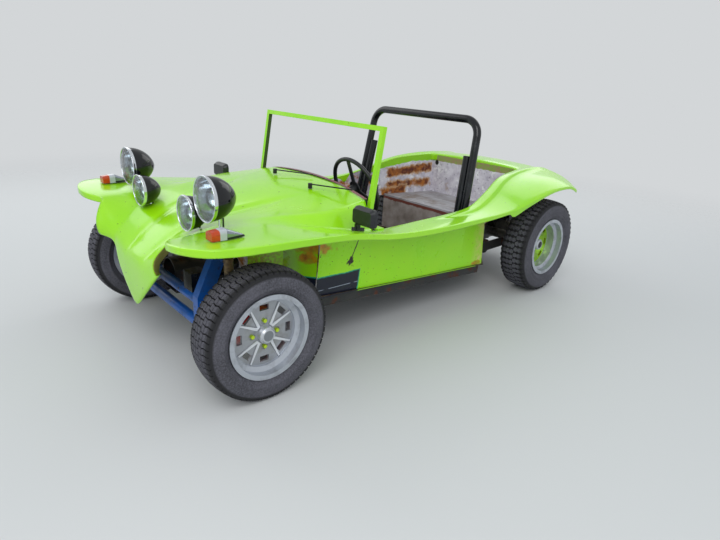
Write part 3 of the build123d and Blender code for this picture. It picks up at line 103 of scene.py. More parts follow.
def patches(material, size, low, high, detail=6, at=(0, 0, 0), stretch=(1, 1, 1)):
    """A mask from 0 to 1 where noise of that size in millimetres rises from low to high."""
    place = add_node(material, "TexCoord", {}).outputs["Object"]
    moved = add_node(material, "VectorMath", {0: place, 1: stretch, 2: at},
                     operation="MULTIPLY_ADD").outputs[0]
    noise = add_node(material, "TexNoise", {"Vector": moved, "Scale": 1000 / size,
                                            "Detail": detail, "Roughness": 0.6}).outputs[0]
    return add_node(material, "MapRange", {"Value": noise, "From Min": low,
                                           "From Max": high}).outputs[0]


def above(material, value, level, soft=0.001, wander=0.0, grain=45):
    """A mask of where the value is above the level; the line may wander by some metres."""
    if wander:
        noise = patches(material, grain, 0.2, 0.8)
        value = add_node(material, "Math", {0: noise, 1: 2 * wander, 2: value},
                         operation="MULTIPLY_ADD").outputs[0]
        level += wander
    return add_node(material, "MapRange", {"Value": value, "From Min": level - soft,
                                           "From Max": level + soft}).outputs[0]


def below(material, value, level, soft=0.001, wander=0.0, grain=45):
    """A mask of where the value is below the level."""
    return above(material, value, level, -soft, wander, grain)


def both(material, *masks):
    """A mask of where all of the masks hold."""
    joined = masks[0]
    for mask in masks[1:]:
        joined = add_node(material, "Math", {0: joined, 1: mask},
                          operation="MULTIPLY").outputs[0]
    return joined


def either(material, *masks):
    """A mask of where one or more of the masks hold."""
    joined = masks[0]
    for mask in masks[1:]:
        joined = add_node(material, "Math", {0: joined, 1: mask},
                          operation="MAXIMUM").outputs[0]
    return joined


def over_line(material, start, end):
    """How far above a sloping line, given by the y and z of two points, a place is in metres."""
    _, y, z = place_on(material)
    line = add_node(material, "MapRange", {
        "Value": y, "From Min": start[0], "From Max": end[0],
        "To Min": start[1], "To Max": end[1]}).outputs[0]
    return add_node(material, "Math", {0: z, 1: line}, operation="SUBTRACT").outputs[0]


def facing_out(material):
    """A mask of the faces that look sideways, away from the car's middle plane."""
    product = add_node(material, "Math", {0: place_on(material)[0],
                                          1: place_on(material, True)[0]},
                       operation="MULTIPLY").outputs[0]
    return above(material, product, 0.2, 0.08)


def blend(material, mask, under, over):
    """Under where the mask is 0 and over where it is 1; colours are hex values or outputs."""
    colours = [linear(c) if isinstance(c, str) else c for c in (under, over)]
    return add_node(material, "Mix", {0: mask, 6: colours[0], 7: colours[1]},
                    data_type="RGBA").outputs[2]


def value_between(material, mask, low, high):
    """Low where the mask is 0 and high where it is 1."""
    return add_node(material, "MapRange", {"Value": mask, "To Min": low,
                                           "To Max": high}).outputs[0]


def relief(material, height, depth, strength):
    """The surface's normal over a height from 0 to 1 that stands for a depth in millimetres."""
    return add_node(material, "Bump", {"Height": height, "Distance": depth * MM,
                                       "Strength": strength}).outputs[0]


def grained(material, size, depth, strength):
    """The surface's normal over an even grain; its size and depth are in millimetres."""
    return relief(material, patches(material, size, 0.2, 0.8), depth, strength)


def dress(node, material):
    """Give a node of the frame its material."""
    slots = frame["nodes"][node].data.materials
    slots.clear()
    slots.append(material)


# Brushed paint on pressed steel: low gloss, with brush marks and rust that kills the shine
pan_black = new_material("brushed_chassis_black")
rust_spots = patches(pan_black, 60, 0.54, 0.66)
dust = patches(pan_black, 220, 0.35, 0.75, at=(3, 1, 2))
black = blend(pan_black, dust, "#1B1D20", "#3A3A38")
earth = patches(pan_black, 45, 0.35, 0.65, at=(1, 2, 3))
floor_top = above(pan_black, place_on(pan_black, True)[2], 0.7, 0.1)
black = blend(pan_black, both(pan_black, floor_top, earth), black, "#6B5B4C")
pan_colour = blend(pan_black, rust_spots, black, "#5A3320")
along = place_on(pan_black)[1]
over_flange = both(pan_black, facing_out(pan_black),
                   above(pan_black, over_line(pan_black, *FLANGE_LINE), 0, 0.002, 0.006),
                   above(pan_black, along, FLANGE_PAINT_Y[0]),
                   below(pan_black, along, FLANGE_PAINT_Y[1]))
navy_part = below(pan_black, along, NAVY_REAR_Y + 0.002, 0.002, 0.008)
flange_paint = blend(pan_black, navy_part, "#8CCB10", NAVY)
grit = patches(pan_black, 6, 0.3, 0.7)
add_node(pan_black, "", {
    "Base Color": blend(pan_black, over_flange, pan_colour, flange_paint),
    "Roughness": value_between(pan_black, rust_spots, 0.45, 0.85),
    "Normal": relief(pan_black, grit, 0.4, 0.5)})
for name in ("chassis", "spring_plates", "knuckle_left", "knuckle_right"):
    dress(name, pan_black)


# Front beam, shock towers and trailing arms: cast and welded steel, painted blue by hand over
# the old black, chipped through in places, with road dirt on top.
# Brushed enamel: deep blue with a soft shine where it is clean and dull where dirt lies
hand_painted_blue = new_material("hand_painted_blue")
chips = patches(hand_painted_blue, 30, 0.60, 0.66)
road_dirt = patches(hand_painted_blue, 120, 0.45, 0.75, at=(1, 4, 0))
blue = blend(hand_painted_blue, road_dirt, "#0F55A6", "#23456A")
add_node(hand_painted_blue, "", {
    "Base Color": blend(hand_painted_blue, chips, blue, "#2A211C"),
    "Roughness": value_between(hand_painted_blue, road_dirt, 0.32, 0.75),
    "Normal": grained(hand_painted_blue, 14, 0.5, 0.4)})
dress("front_beam", hand_painted_blue)

# The shock absorbers are pressed steel tubes, black once, rusty and oily at the upper eyes.
# Old black paint: dull where it is dry, with a wet shine where grease lies
UPPER_EYE_Z = 0.565
oily_black_steel = new_material("oily_black_steel")
upper_eye = above(oily_black_steel, place_on(oily_black_steel)[2], UPPER_EYE_Z, 0.01, 0.02, 20)
grease = patches(oily_black_steel, 25, 0.4, 0.65)
eye_colour = blend(oily_black_steel, grease, "#8A7650", "#4C3B24")
add_node(oily_black_steel, "", {
    "Base Color": blend(oily_black_steel, upper_eye, "#26262A", eye_colour),
    "Roughness": value_between(oily_black_steel, grease, 0.7, 0.4), "Metallic": 0.3,
    "Normal": grained(oily_black_steel, 5, 0.3, 0.5)})
dress("front_shocks", oily_black_steel)


# Steel pieces left bare or thinly painted: tie rods, pedals, gear lever and exhaust. Turned or
# drawn steel that has gone brown in the weather.
# Weathered steel: a grey sheen that breaks up into matt rusty patches
weathered_steel = new_material("weathered_steel")
rusty = patches(weathered_steel, 35, 0.42, 0.60)
add_node(weathered_steel, "", {
    "Base Color": blend(weathered_steel, rusty, "#7B7875", "#5E3B26"),
    "Metallic": value_between(weathered_steel, rusty, 1.0, 0.1),
    "Roughness": value_between(weathered_steel, rusty, 0.42, 0.85),
    "Normal": grained(weathered_steel, 4, 0.2, 0.4)})
for name in ("tie_rods", "pedals", "gear_lever", "exhaust"):
    dress(name, weathered_steel)


# Transaxle and engine: sand-cast light alloy, with a fan shroud and a generator of stoved
# black sheet bolted on top. Oil and dirt lie on the castings in patches.
# Sand-cast alloy: the casting skin scatters light, so it looks chalky where it is clean
SHEET_FROM_Z = 0.42         # the stoved sheet pieces sit above the cast ones


def cast_alloy(name, sheet_above=False):
    """Oily cast metal, and stoved black sheet on top of it where the piece has that."""
    material = new_material(name)
    oil = patches(material, 90, 0.45, 0.62)
    colour = blend(material, oil, "#8D8B86", "#2E2A25")
    metal = value_between(material, oil, 0.8, 0.1)
    if sheet_above:
        sheet = above(material, place_on(material)[2], SHEET_FROM_Z)
        worn = blend(material, patches(material, 150, 0.4, 0.7), "#16181A", "#33322F")
        colour = blend(material, sheet, colour, worn)
        metal = both(material, metal, value_between(material, sheet, 1, 0))
    add_node(material, "", {
        "Base Color": colour, "Metallic": metal,
        "Roughness": value_between(material, oil, 0.6, 0.42),
        "Normal": grained(material, 3, 0.3, 0.6)})
    return material


dress("transaxle", cast_alloy("sand_cast_alloy"))
dress("engine", cast_alloy("cast_alloy_and_stoved_sheet", sheet_above=True))


# Wheels: cast discs with eight windows and raised ribs in rolled steel rims. The front ones are
# sprayed silver, the rear discs lime green, and the brake drums behind them are red.
# Sprayed aluminium paint: grey metal with a soft spread highlight, dulled in patches by dust
wheels = {}
for name, disc_in in (("front", 60), ("rear", 104)):
    rim_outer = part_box(name + "_rim_left")[1].x
    wheels[name] = {
        "axle": joint_at(f"roll_{name}_left"), "outer": rim_outer,
        "face": rim_outer - disc_in * MM, "tyre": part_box(name + "_tyre_left")}
DISC_R = 158.5
CAP_R = 43
LUG_AT = 65                 # from the axle, up, down, ahead and behind it
LUG_R = 13
# Distances from the disc's face at which the colour changes: outboard for the painted highlight
# on the ribs' tops, inboard for the nuts and the drum
RIB_TOP = 4.5
NUT_BACK = 4
DRUM_BACK = 14
RED_R = 150                 # the red reaches this far out behind the windows


def wheel_masks(material, wheel):
    """Distance from the axle, from the middle plane, and from the axle in each direction."""
    place = place_on(material)
    off = add_node(material, "CombineXYZ", {1: place[1], 2: place[2]}).outputs[0]
    _, y, z = wheel["axle"]
    from_axle = add_node(material, "VectorMath", {0: off, 1: (0, y, z)},
                         operation="SUBTRACT").outputs[0]
    radius = add_node(material, "VectorMath", {0: from_axle}, operation="LENGTH").outputs["Value"]
    across = add_node(material, "Math", {0: place[0]}, operation="ABSOLUTE").outputs[0]
    quarter = add_node(material, "VectorMath", {0: from_axle}, operation="ABSOLUTE").outputs[0]
    return radius, across, quarter


def sprayed_rim(name, wheel, disc_colour, rib_highlight_colour, cap_colour, lug_colour):
    """Wheel paint: a silver rim and a red drum, with the disc, nuts and cap in their colours, and
    the ribs' tops in a lighter colour, as a painted highlight.
    """
    material = new_material(name)
    radius, across, quarter = wheel_masks(material, wheel)
    brake_dust = patches(material, 60, 0.50, 0.85)
    silver = blend(material, brake_dust, "#B9BEC6", "#7D7E82")
    disc = blend(material, brake_dust, disc_colour, "#8A8880")
    # Painted highlight: the ribs' tops, outboard of the disc's face, are drawn in a lighter colour
    rib_top_highlight = above(material, across, wheel["face"] + RIB_TOP * MM, 0.001)
    disc = blend(material, rib_top_highlight, disc, rib_highlight_colour)
    colour = blend(material, above(material, radius, DISC_R * MM), disc, silver)
    for lug in ((0, LUG_AT * MM, 0), (0, 0, LUG_AT * MM)):
        far = add_node(material, "VectorMath", {0: quarter, 1: lug},
                       operation="DISTANCE").outputs["Value"]
        proud = above(material, across, wheel["face"] - NUT_BACK * MM)
        nut = both(material, below(material, far, LUG_R * MM, 0.0005), proud)
        colour = blend(material, nut, colour, lug_colour)
    off_cap = above(material, radius, CAP_R * MM)
    cap_middle = either(material, off_cap, below(material, radius, 0.6 * CAP_R * MM))
    cap = blend(material, cap_middle, "#C6CACF", cap_colour)
    colour = blend(material, off_cap, cap, colour)
    deep = below(material, across, wheel["face"] - DRUM_BACK * MM)
    drum = both(material, deep, below(material, radius, RED_R * MM))
    colour = blend(material, drum, colour, "#DA2A1E")
    add_node(material, "", {
        "Base Color": colour, "Metallic": value_between(material, drum, 0.55, 0),
        "Roughness": value_between(material, brake_dust, 0.30, 0.6),
        "Normal": grained(material, 1.5, 0.05, 0.3)})
    return material


# Colours of the disc, the painted highlight on the ribs' tops, the cap and the nuts
front_rim_paint = sprayed_rim("sprayed_silver_rim", wheels["front"], "#A6A9AE", "#E6E9ED",
                              "#84898E", "#C9E636")
rear_rim_paint = sprayed_rim("sprayed_green_rim", wheels["rear"], "#A8E022", "#B4EA3A", "#23272B",
                             "#8FB82A")
for side in ("left", "right"):
    dress("front_rim_" + side, front_rim_paint)
    dress("rear_rim_" + side, rear_rim_paint)


# Tyres: vulcanised rubber with a moulded block tread. The carcass is one ring with fine ribs
# moulded round its sidewalls, and the blocks stand on it.
# Moulded rubber: matt, greyed by road dust, darkest in the grooves between the blocks
TREAD_DEPTH = 0.008
DARKEST = (0.0055, 0.030)   # how far under the tread's top the groove colour begins and ends
SHOULDER_DROP = 0.009       # the tread's foot is lower by this at its edges
TREAD_SHARE = 0.80          # of the tyre's half width
BEAD_R = 0.2085


def tyre_rubber(name, wheel):
    """Dusty rubber, darker down in the grooves of the tread."""
    material = new_material(name)
    lower, upper = wheel["tyre"]
    tread_r = (upper.z - lower.z) / 2
    radius, across, _ = wheel_masks(material, wheel)
    dusty = patches(material, 160, 0.35, 0.70)
    fine_dust = patches(material, 8, 0.40, 0.80, at=(4, 4, 1))
    rubber = blend(material, dusty, "#3A3A3F", "#53525A")
    rubber = blend(material, fine_dust, rubber, "#676670")
    groove = both(material, below(material, radius, tread_r - DARKEST[0], 0.002),
                  above(material, radius, tread_r - DARKEST[1], 0.004))
    add_node(material, "", {
        "Base Color": blend(material, groove, rubber, "#212124"),
        "Roughness": 0.82,
        "Normal": grained(material, 5, 0.3, 0.5)})
    return material


# Ribs of the tread: middle across as a share of the half width, width in mm, turn in degrees
FRONT_TREAD = [(0.0, 20, 0), (0.30, 19, 14), (-0.30, 19, 14), (0.58, 19, -18), (-0.58, 19, -18),
               (0.86, 24, 6), (-0.86, 24, 6)]
REAR_TREAD = [(0.0, 30, 0), (0.34, 30, 0), (-0.34, 30, 0), (0.68, 30, 0), (-0.68, 30, 0),
              (0.93, 17, 0), (-0.93, 17, 0)]
# Outline of one block as shares of its half width and half length
SQUARE_BLOCK = [(-1, -1), (1, -1), (1, 1), (-1, 1)]
SIX_SIDED_BLOCK = [(-1, -0.5), (0, -1.02), (1, -0.5), (1, 0.5), (0, 1.02), (-1, 0.5)]
# Rings moulded round the sidewall: distance out from the bead and height, in mm
SIDEWALL_RINGS = [(34, 1.2), (46, 1.6), (60, 1.0)]


def mesh_object(name, bm, *materials):
    """An object of the scene with the mesh and the materials, shaded smooth."""
    mesh = bpy.data.meshes.new(name)
    bm.to_mesh(mesh)
    bm.free()
    made = bpy.data.objects.new(name, mesh)
    bpy.context.scene.collection.objects.link(made)
    for material in materials:
        mesh.materials.append(material)
    mesh.shade_smooth()
    return made


def spun(bm, profile, centre, steps):
    """Spin a closed profile of (across, radius) points round the X axis through the centre."""
    rings = []
    for k in range(steps):
        turn = 2 * pi * k / steps
        rings.append([bm.verts.new((centre[0] + a, centre[1] + r * cos(turn),
                                    centre[2] + r * sin(turn))) for a, r in profile])
    for k in range(steps):
        for i in range(len(profile)):
            j = (i + 1) % len(profile)
            bm.faces.new((rings[k][i], rings[k][j], rings[(k + 1) % steps][j],
                          rings[(k + 1) % steps][i]))


def crown(across, half, radius):
    """Radius of the tread at a distance across: it falls away towards the shoulders."""
    return radius - SHOULDER_DROP * (across / half) ** 2


def make_tyre(name, wheel, side, ribs, block, pitches, rubber, body):
    """One tyre: the spun carcass, and on it the ribs' blocks, so many to the turn."""
    lower, upper = wheel["tyre"]
    half = (upper.x - lower.x) / 2
    radius = (upper.z - lower.z) / 2
    centre = (side * (upper.x + lower.x) / 2, wheel["axle"][1], wheel["axle"][2])
    tread_half = TREAD_SHARE * half
    base = radius - TREAD_DEPTH
    rim_half = wheel["outer"] - abs(centre[0]) - 0.008
    wall = -half + 0.003
    # Half an outline of (across, radius) points: bead, wall with its rings, shoulder and middle
    outline = [(-rim_half, BEAD_R), (-rim_half - 0.004, BEAD_R + 0.008),
               (-half + 0.010, BEAD_R + 0.022), (wall, BEAD_R + 0.030)]
    for out, height in SIDEWALL_RINGS:
        ring = BEAD_R + out * MM
        if ring < radius - 0.066:
            outline += [(wall, ring - 2 * MM), (wall - height * MM, ring), (wall, ring + 2 * MM)]
    outline += [(wall, radius - 0.062), (-half + 0.007, radius - 0.040),
                (-tread_half - 0.007, radius - 0.024), (-tread_half, base - 0.009),
                (-tread_half * 0.6, base - 0.004), (0, base)]
    outline += [(-a, r) for a, r in outline[-2::-1]]
    outline += [(rim_half - 0.012, BEAD_R - 0.006), (-rim_half + 0.012, BEAD_R - 0.006)]
    bm = bmesh.new()
    spun(bm, outline, centre, 96)
    # Blocks: each is wider at its foot, which is sunk in the carcass, than at its top
    wear = random.Random(5)
    sides = len(block)
    for rib, (share, width, skew) in enumerate(ribs):
        middle = share * tread_half
        for k in range(pitches):
            turn = 2 * pi * (k + 0.5 * (rib % 2)) / pitches
            long = 2 * pi * radius / pitches * (0.80 + 0.05 * wear.random())
            corners = []
            for rise, spread in ((-0.004, 1.10), (TREAD_DEPTH, 0.94)):
                for u, v in block:
                    du = u * width * MM / 2 * spread
                    dv = v * long / 2 * spread + du * sin(radians(skew)) * side
                    a = middle + du
                    r = min(crown(a, tread_half, base) + rise, radius - 0.0002)
                    t = turn + dv / radius
                    corners.append(bm.verts.new((centre[0] + a, centre[1] + r * cos(t),
                                                 centre[2] + r * sin(t))))
            bm.faces.new(corners[:sides - 1:-1])
            for i in range(sides):
                j = (i + 1) % sides
                bm.faces.new((corners[i], corners[j], corners[sides + j], corners[sides + i]))
    bmesh.ops.recalc_face_normals(bm, faces=bm.faces)
    made = mesh_object(name, bm, rubber)
    made.data.set_sharp_from_angle(angle=radians(38))
    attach(made, body)
    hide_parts(name)
    return made


for name, ribs, block, pitches in (("front", FRONT_TREAD, SQUARE_BLOCK, 62),
                                   ("rear", REAR_TREAD, SIX_SIDED_BLOCK, 50)):
    rubber = tyre_rubber(f"moulded_{name}_tyre_rubber", wheels[name])
    for side, label in ((1, "left"), (-1, "right")):
        tyre = make_tyre(f"{name}_tyre_{label}", wheels[name], side, ribs, block, pitches,
                         rubber, f"wheel_{name}_{label}")
        tyre.name = f"{name}_tyre_tread_{label}"


# Body shell: one glass-fibre moulding for the bonnet, nose, wings, side decks and rear deck,
# sprayed with gelcoat in a polished mould and laminated from behind. Each row of a table is a
# cross-section: first its station, in millimetres behind the front axle, then its points.
LAMINATE = 5
# x and z of the edge, of the shoulder and of the scoop, then z in the middle
BONNET = [
    (-290, 450, 742, 300, 585, 110, 538, 545),
    (-200, 460, 748, 310, 665, 130, 616, 625),
    (-100, 490, 762, 340, 722, 150, 680, 690),
    (0, 515, 772, 380, 752, 180, 722, 735),
    (200, 570, 764, 470, 780, 230, 765, 787),
    (450, 640, 728, 590, 792, 290, 818, 842),
    (600, 640, 692, 590, 802, 330, 843, 864),
    (760, 622, 662, 548, 818, 350, 860, 880),
]
# x and z of the side deck's inner edge
COCKPIT_EDGE = [
    (760, 622, 662),
    (1100, 620, 671),
    (1600, 620, 694),
    (1740, 590, 735),
    (1910, 545, 785),
]
# Rise of the front wing's or side deck's arch, then x and z of its outer edge
SIDE_EDGE = [
    (-420, 14, 860, 776),
    (-200, 12, 850, 777),
    (0, 4, 838, 768),
    (200, 3, 822, 756),
    (510, 3, 797, 728),
    (760, 6, 786, 686),
    (1100, 6, 786, 665),
    (1600, 6, 786, 668),
    (1740, 8, 788, 672),
    (1910, 24, 792, 680),
]
# Stations behind the rear axle: x and z of the inner edge, rise of the arch, outer x and z
REAR_WING = [
    (-490, 545, 785, 24, 792, 680),
    (-335, 500, 832, 36, 800, 716),
    (-120, 455, 850, 46, 806, 765),
    (50, 430, 857, 44, 806, 781),
    (200, 420, 861, 34, 800, 774),
    (290, 420, 854, 50, 798, 734),
    (360, 420, 842, 64, 794, 688),
]
# Down the nose: x, z and station on the fold, at half height and on the lower edge, for the
# pointed shield (first six rows) and the rounded lobe beside it (last two)
NOSE = [
    ((0, 522, -309), (0, 395, -316), (0, 264, -318)),
    ((58, 519, -309), (50, 405, -316), (40, 288, -318)),
    ((104, 512, -309), (95, 418, -316), (84, 323, -318)),
    ((154, 515, -306), (148, 444, -314), (142, 373, -318)),
    ((232, 522, -299), (230, 485, -308), (228, 448, -314)),
    ((294, 548, -293), (291, 532, -295), (288, 517, -296)),
    ((370, 652, -312), (340, 598, -308), (334, 538, -303)),
    ((446, 712, -308), (386, 634, -362), (386, 552, -346)),
]
# Plan of the front wing and of the tail: station and outer edge
PLAN_EDGE = [(-362, 690), (-300, 804), (-150, 842), (0, 836), (200, 820), (510, 795)]
TAIL_EDGE = [(300, 799), (322, 782), (348, 738)]
# Depth of the turned-down lip along the car: millimetres behind the front axle, depth
LIP_DEPTH = [(-381, 33), (1200, 31), (1493, 29), (1652, 26), (1818, 18), (1842, 18),
             (1864, 48), (1900, 46), (1996, 29), (2127, 20), (2429, 18), (2749, 20)]


def smooth(rows, s):
    """The columns of a table at station s, on a smooth curve through its rows."""
    s = min(max(s, rows[0][0]), rows[-1][0])
    i = 0
    while i < len(rows) - 2 and s > rows[i + 1][0]:
        i += 1
    here = rows[i]
    there = rows[i + 1]
    before = rows[max(i - 1, 0)]
    after = rows[min(i + 2, len(rows) - 1)]
    span = there[0] - here[0]
    t = (s - here[0]) / span
    out = []
    for a, p, q, b in zip(before, here, there, after):
        slope_p = (q - a) / (there[0] - before[0]) * span
        slope_q = (b - p) / (after[0] - here[0]) * span
        out.append((2 * t**3 - 3 * t**2 + 1) * p + (t**3 - 2 * t**2 + t) * slope_p
                   + (3 * t**2 - 2 * t**3) * q + (t**3 - t**2) * slope_q)
    return out[1:]


def between(points, x):
    """Height at x on the straight runs through the points."""
    for (x0, z0), (x1, z1) in zip(points, points[1:]):
        if x <= x1:
            return z0 + (z1 - z0) * (x - x0) / (x1 - x0)
    return points[-1][1]


def wing_height(row, x):
    """Height of a wing's arched section at x."""
    x_in, z_in, arch, x_out, z_out = row
    t = (x - x_in) / (x_out - x_in)
    return z_in + (z_out - z_in) * t + arch * 4 * t * (1 - t)


def side_row(s):
    """Section of a front wing or side deck at station s, as wing_height wants it."""
    inner = smooth(BONNET, s)[:2] if s <= BONNET[-1][0] else smooth(COCKPIT_EDGE, s)
    return [*inner, *smooth(SIDE_EDGE, s)]


SCOOP_MIDDLE = 110          # the bonnet's two scoops are deepest here and run out both ways
SCOOP_REACH = 390
SCOOP_FLOOR = 13
SCOOP_HALF = 30             # half width where a scoop runs out; it is twice that in the middle
LOBE_SWELL = 6              # rise of the lobe's top at the fold, which runs out over LOBE_RUN
LOBE_RUN = 490


def bonnet_columns(s, row):
    """Left half of the bonnet's section: middle, scoop, halfway up, shoulder and lobe."""
    xe, ze, xs, zs, xv, zv, zc = row
    deep = max(1 - (abs(s - SCOOP_MIDDLE) / SCOOP_REACH) ** 2, 0)
    width = SCOOP_HALF * (1 + deep)
    x_in = xv - width
    x_out = xv + width * 0.8
    z_out = zv + (zs - zv) / (xs - xv) * (x_out - xv)
    swell = LOBE_SWELL * max(1 - (s - BONNET[0][0]) / LOBE_RUN, 0)
    return [(0, zc), (x_in, zc + (zv - zc) * (x_in / xv) ** 2), (xv, zv - SCOOP_FLOOR * deep),
            (x_out, z_out), ((x_out + xs) / 2, (z_out + zs) / 2), (xs, zs),
            ((xs + xe) / 2, (zs + ze) / 2 + swell)]


# Vertices by row and column: columns 0 to 6 are the bonnet (0 to 7 the nose), 7 to 11 a wing
# or deck from its inner edge out, and 20 to 22 the rear deck from its middle out
grid = {}


def put(bm, row, column, x, y, z):
    """A vertex of the grid, with x and z in millimetres and y in metres."""
    grid[row, column] = bm.verts.new((x * MM, y, z * MM))


shell = bmesh.new()
for c, (fold, middle, low) in enumerate(NOSE):
    for row, (x, z, s) in enumerate((low, middle, fold)):
        put(shell, row, c, x, FRONT_AXLE_Y + s * MM, z)
BONNET_ROW = 3              # the rows before it are the nose's
BONNET_AT = (-290, -245, -200, -140, -80, 0, 80, 160, 240, 320, 380, 430, 510, 600, 680, 760)
for k, s in enumerate(BONNET_AT):
    for c, (x, z) in enumerate(bonnet_columns(s, smooth(BONNET, s))):
        put(shell, BONNET_ROW + k, c, x, FRONT_AXLE_Y + s * MM, z)
# Wings and decks: edge, top of the coaming, its foot, crown and outer edge. The front rows
# follow the wing's rounded corner.
COAMING = 58                # width of the flat top along the cockpit
COAMING_RISE = 24
COAMING_FROM = 1100         # station where it begins to rise
COAMING_RUN = 800           # and the length over which it does
COAMING_END = 50            # behind the rear axle it sinks from here on
COAMING_FADE = 310          # over this length
CROWN_AT = 0.70             # share of the width
CROWN_DROP = 9              # the wing is flatter than an even arch beside the coaming
WING_X = 805                # widest place of the rear wings
DECK_CROWN = 14             # the rear deck's middle stands higher than its sides
FRONT_CORNER = [
    [(450, -290), (498, -326), (552, -358), (640, -361), (712, -346)],
    [(455, -245), (520, -268), (590, -285), (690, -290), (806, -284)],
]
SIDE_AT = BONNET_AT[2:] + (880, 1000, 1150, 1300, 1450, 1600, 1700, 1800, 1842, 1864)
REAR_AT = (-490, -410, -335, -220, -120, -35, 50, 125, 200, 270, 322, 348)


def side_columns(row, raised, limit):
    """Across a wing or deck: the coaming's flat top and foot, then the arch to the edge."""
    x_in, x_out = row[0], min(row[3], limit)
    xs = (x_in, x_in + COAMING * (0.5 + 0.5 * raised), x_in + COAMING * (0.8 + 0.5 * raised),
          x_in + (x_out - x_in) * CROWN_AT, x_out)
    lift = (0, 0, -COAMING_RISE * raised, -CROWN_DROP * raised, 0)
    return [(x, wing_height(row, x) + up) for x, up in zip(xs, lift)]


for k, corner in enumerate(FRONT_CORNER):
    for c, (x, s) in enumerate(corner):
        put(shell, BONNET_ROW + k, 7 + c, x, FRONT_AXLE_Y + s * MM, wing_height(side_row(s), x))
first_side = BONNET_ROW + len(FRONT_CORNER)
for k, s in enumerate(SIDE_AT):
    raised = min(max((s - COAMING_FROM) / COAMING_RUN, 0), 1)
    for c, (x, z) in enumerate(side_columns(side_row(s), raised, between(PLAN_EDGE, s))):
        put(shell, first_side + k, 7 + c, x, FRONT_AXLE_Y + s * MM, z)
first_rear = first_side + len(SIDE_AT)
for k, r in enumerate(REAR_AT):
    limit = between(TAIL_EDGE, r) if r > TAIL_EDGE[0][0] else WING_X
    raised = 1 - max(r - COAMING_END, 0) / COAMING_FADE
    for c, (x, z) in enumerate(side_columns(smooth(REAR_WING, r), raised, limit)):
        put(shell, first_rear + k, 7 + c, x, REAR_AXLE_Y + r * MM, z)
last = first_rear + len(REAR_AT) - 1
# Rear deck between the wings, from the end of the coaming to the tail
deck_rows = [first_rear + k for k, r in enumerate(REAR_AT) if r >= COAMING_END]
for row in deck_rows:
    edge = grid[row, 7].co / MM
    for c in range(3):
        share = c / 3
        rise = DECK_CROWN * (1 - share**2)
        put(shell, row, 20 + c, edge.x * share, edge.y * MM, edge.z + rise)
columns = [(c, c + 1) for c in range(11)] + [(20, 21), (21, 22), (22, 7)]
for row in range(last):
    for left, right in columns:
        ends = [(row, left), (row, right), (row + 1, right), (row + 1, left)]
        if all(end in grid for end in ends):
            shell.faces.new([grid[end] for end in ends])


def hem(bm, verts, steps):
    """A turned edge along the open row of vertices: each step moves it by (x, y, z)."""
    for dx, dy, dz in steps:
        lower = [bm.verts.new((v.co.x + dx * MM, v.co.y + dy * MM, v.co.z + dz * MM))
                 for v in verts]
        for a, b, c, d in zip(verts, verts[1:], lower[1:], lower):
            bm.faces.new((a, b, c, d))
        verts = lower
    return verts


# The outer edge turns down into the lip, the cockpit's edge down and the nose's backwards
outer = [grid[BONNET_ROW, c] for c in range(7, 12)]
outer += [grid[r, 11] for r in range(BONNET_ROW + 1, last + 1)]
outer += [grid[last, c] for c in range(10, 6, -1)] + [grid[last, c] for c in (22, 21, 20)]
for vert in hem(shell, outer, ((0, 0, -7), (-1, 0, 7))):
    vert.co.z -= between(LIP_DEPTH, (vert.co.y - FRONT_AXLE_Y) / MM) * MM
rim_first = BONNET_ROW + len(BONNET_AT) - 1
inner = [grid[r, 7] for r in range(rim_first, deck_rows[0] + 1)]
inner += [grid[deck_rows[0], c] for c in (22, 21, 20)]
hem(shell, inner[::-1], ((0, 0, -9), (0, 0, -46)))
hem(shell, [grid[0, c] for c in range(8)], ((0, 14, 2),))
# Creases: the scoops' sides, the shoulder line, the wing's foot, the coaming and the lip
crease = shell.edges.layers.float.new("crease_edge")
scoops_end = BONNET_ROW + BONNET_AT.index(430)
cowl = BONNET_ROW + BONNET_AT.index(160)
for row in range(last):
    on_scoop = 0.45 if BONNET_ROW < row < scoops_end else 0
    foot = 0.5 if row > cowl else 0
    coaming = 0.65 if row > first_side + SIDE_AT.index(1150) else 0
    for column, sharp in ((1, on_scoop), (3, on_scoop), (5, 0.75), (7, foot), (8, coaming),
                          (9, coaming), (11, 0.5)):
        pair = [grid.get((row + k, column)) for k in (0, 1)]
        edge = shell.edges.get(pair) if all(pair) else None
        if edge:
            edge[crease] = sharp
bmesh.ops.recalc_face_normals(shell, faces=shell.faces)

# Moulded gelcoat: glossy and even with soft creases, faded in blotches by the sun, with specks
# where stones have chipped it
gelcoat = new_material("moulded_lime_gelcoat")
faded = patches(gelcoat, 420, 0.35, 0.70)
lime = blend(gelcoat, faded, "#98E400", "#A8EC1E")
specks = patches(gelcoat, 16, 0.70, 0.73, detail=3, at=(2, 7, 5))
chips = patches(gelcoat, 48, 0.705, 0.725, detail=8, at=(5, 1, 9))
lime = blend(gelcoat, specks, lime, "#3E4A14")
lime = blend(gelcoat, chips, lime, "#4A2E18")
add_node(gelcoat, "", {
    "Base Color": lime, "Roughness": value_between(gelcoat, faded, 0.16, 0.30),
    "IOR": 1.5, "Coat Weight": 0.4, "Coat Roughness": 0.08,
    "Normal": relief(gelcoat, patches(gelcoat, 9, 0.2, 0.8, detail=2), 0.25, 0.12)})
# Hand-laid laminate: the back of the shell, rough yellow-brown resin over the glass mat
rough_laminate = new_material("hand_laid_laminate")
resin = patches(rough_laminate, 35, 0.3, 0.7)
add_node(rough_laminate, "", {
    "Base Color": blend(rough_laminate, resin, "#8F9630", "#B3A860"),
    "Roughness": 0.7,
    "Normal": grained(rough_laminate, 8, 1.2, 0.7)})

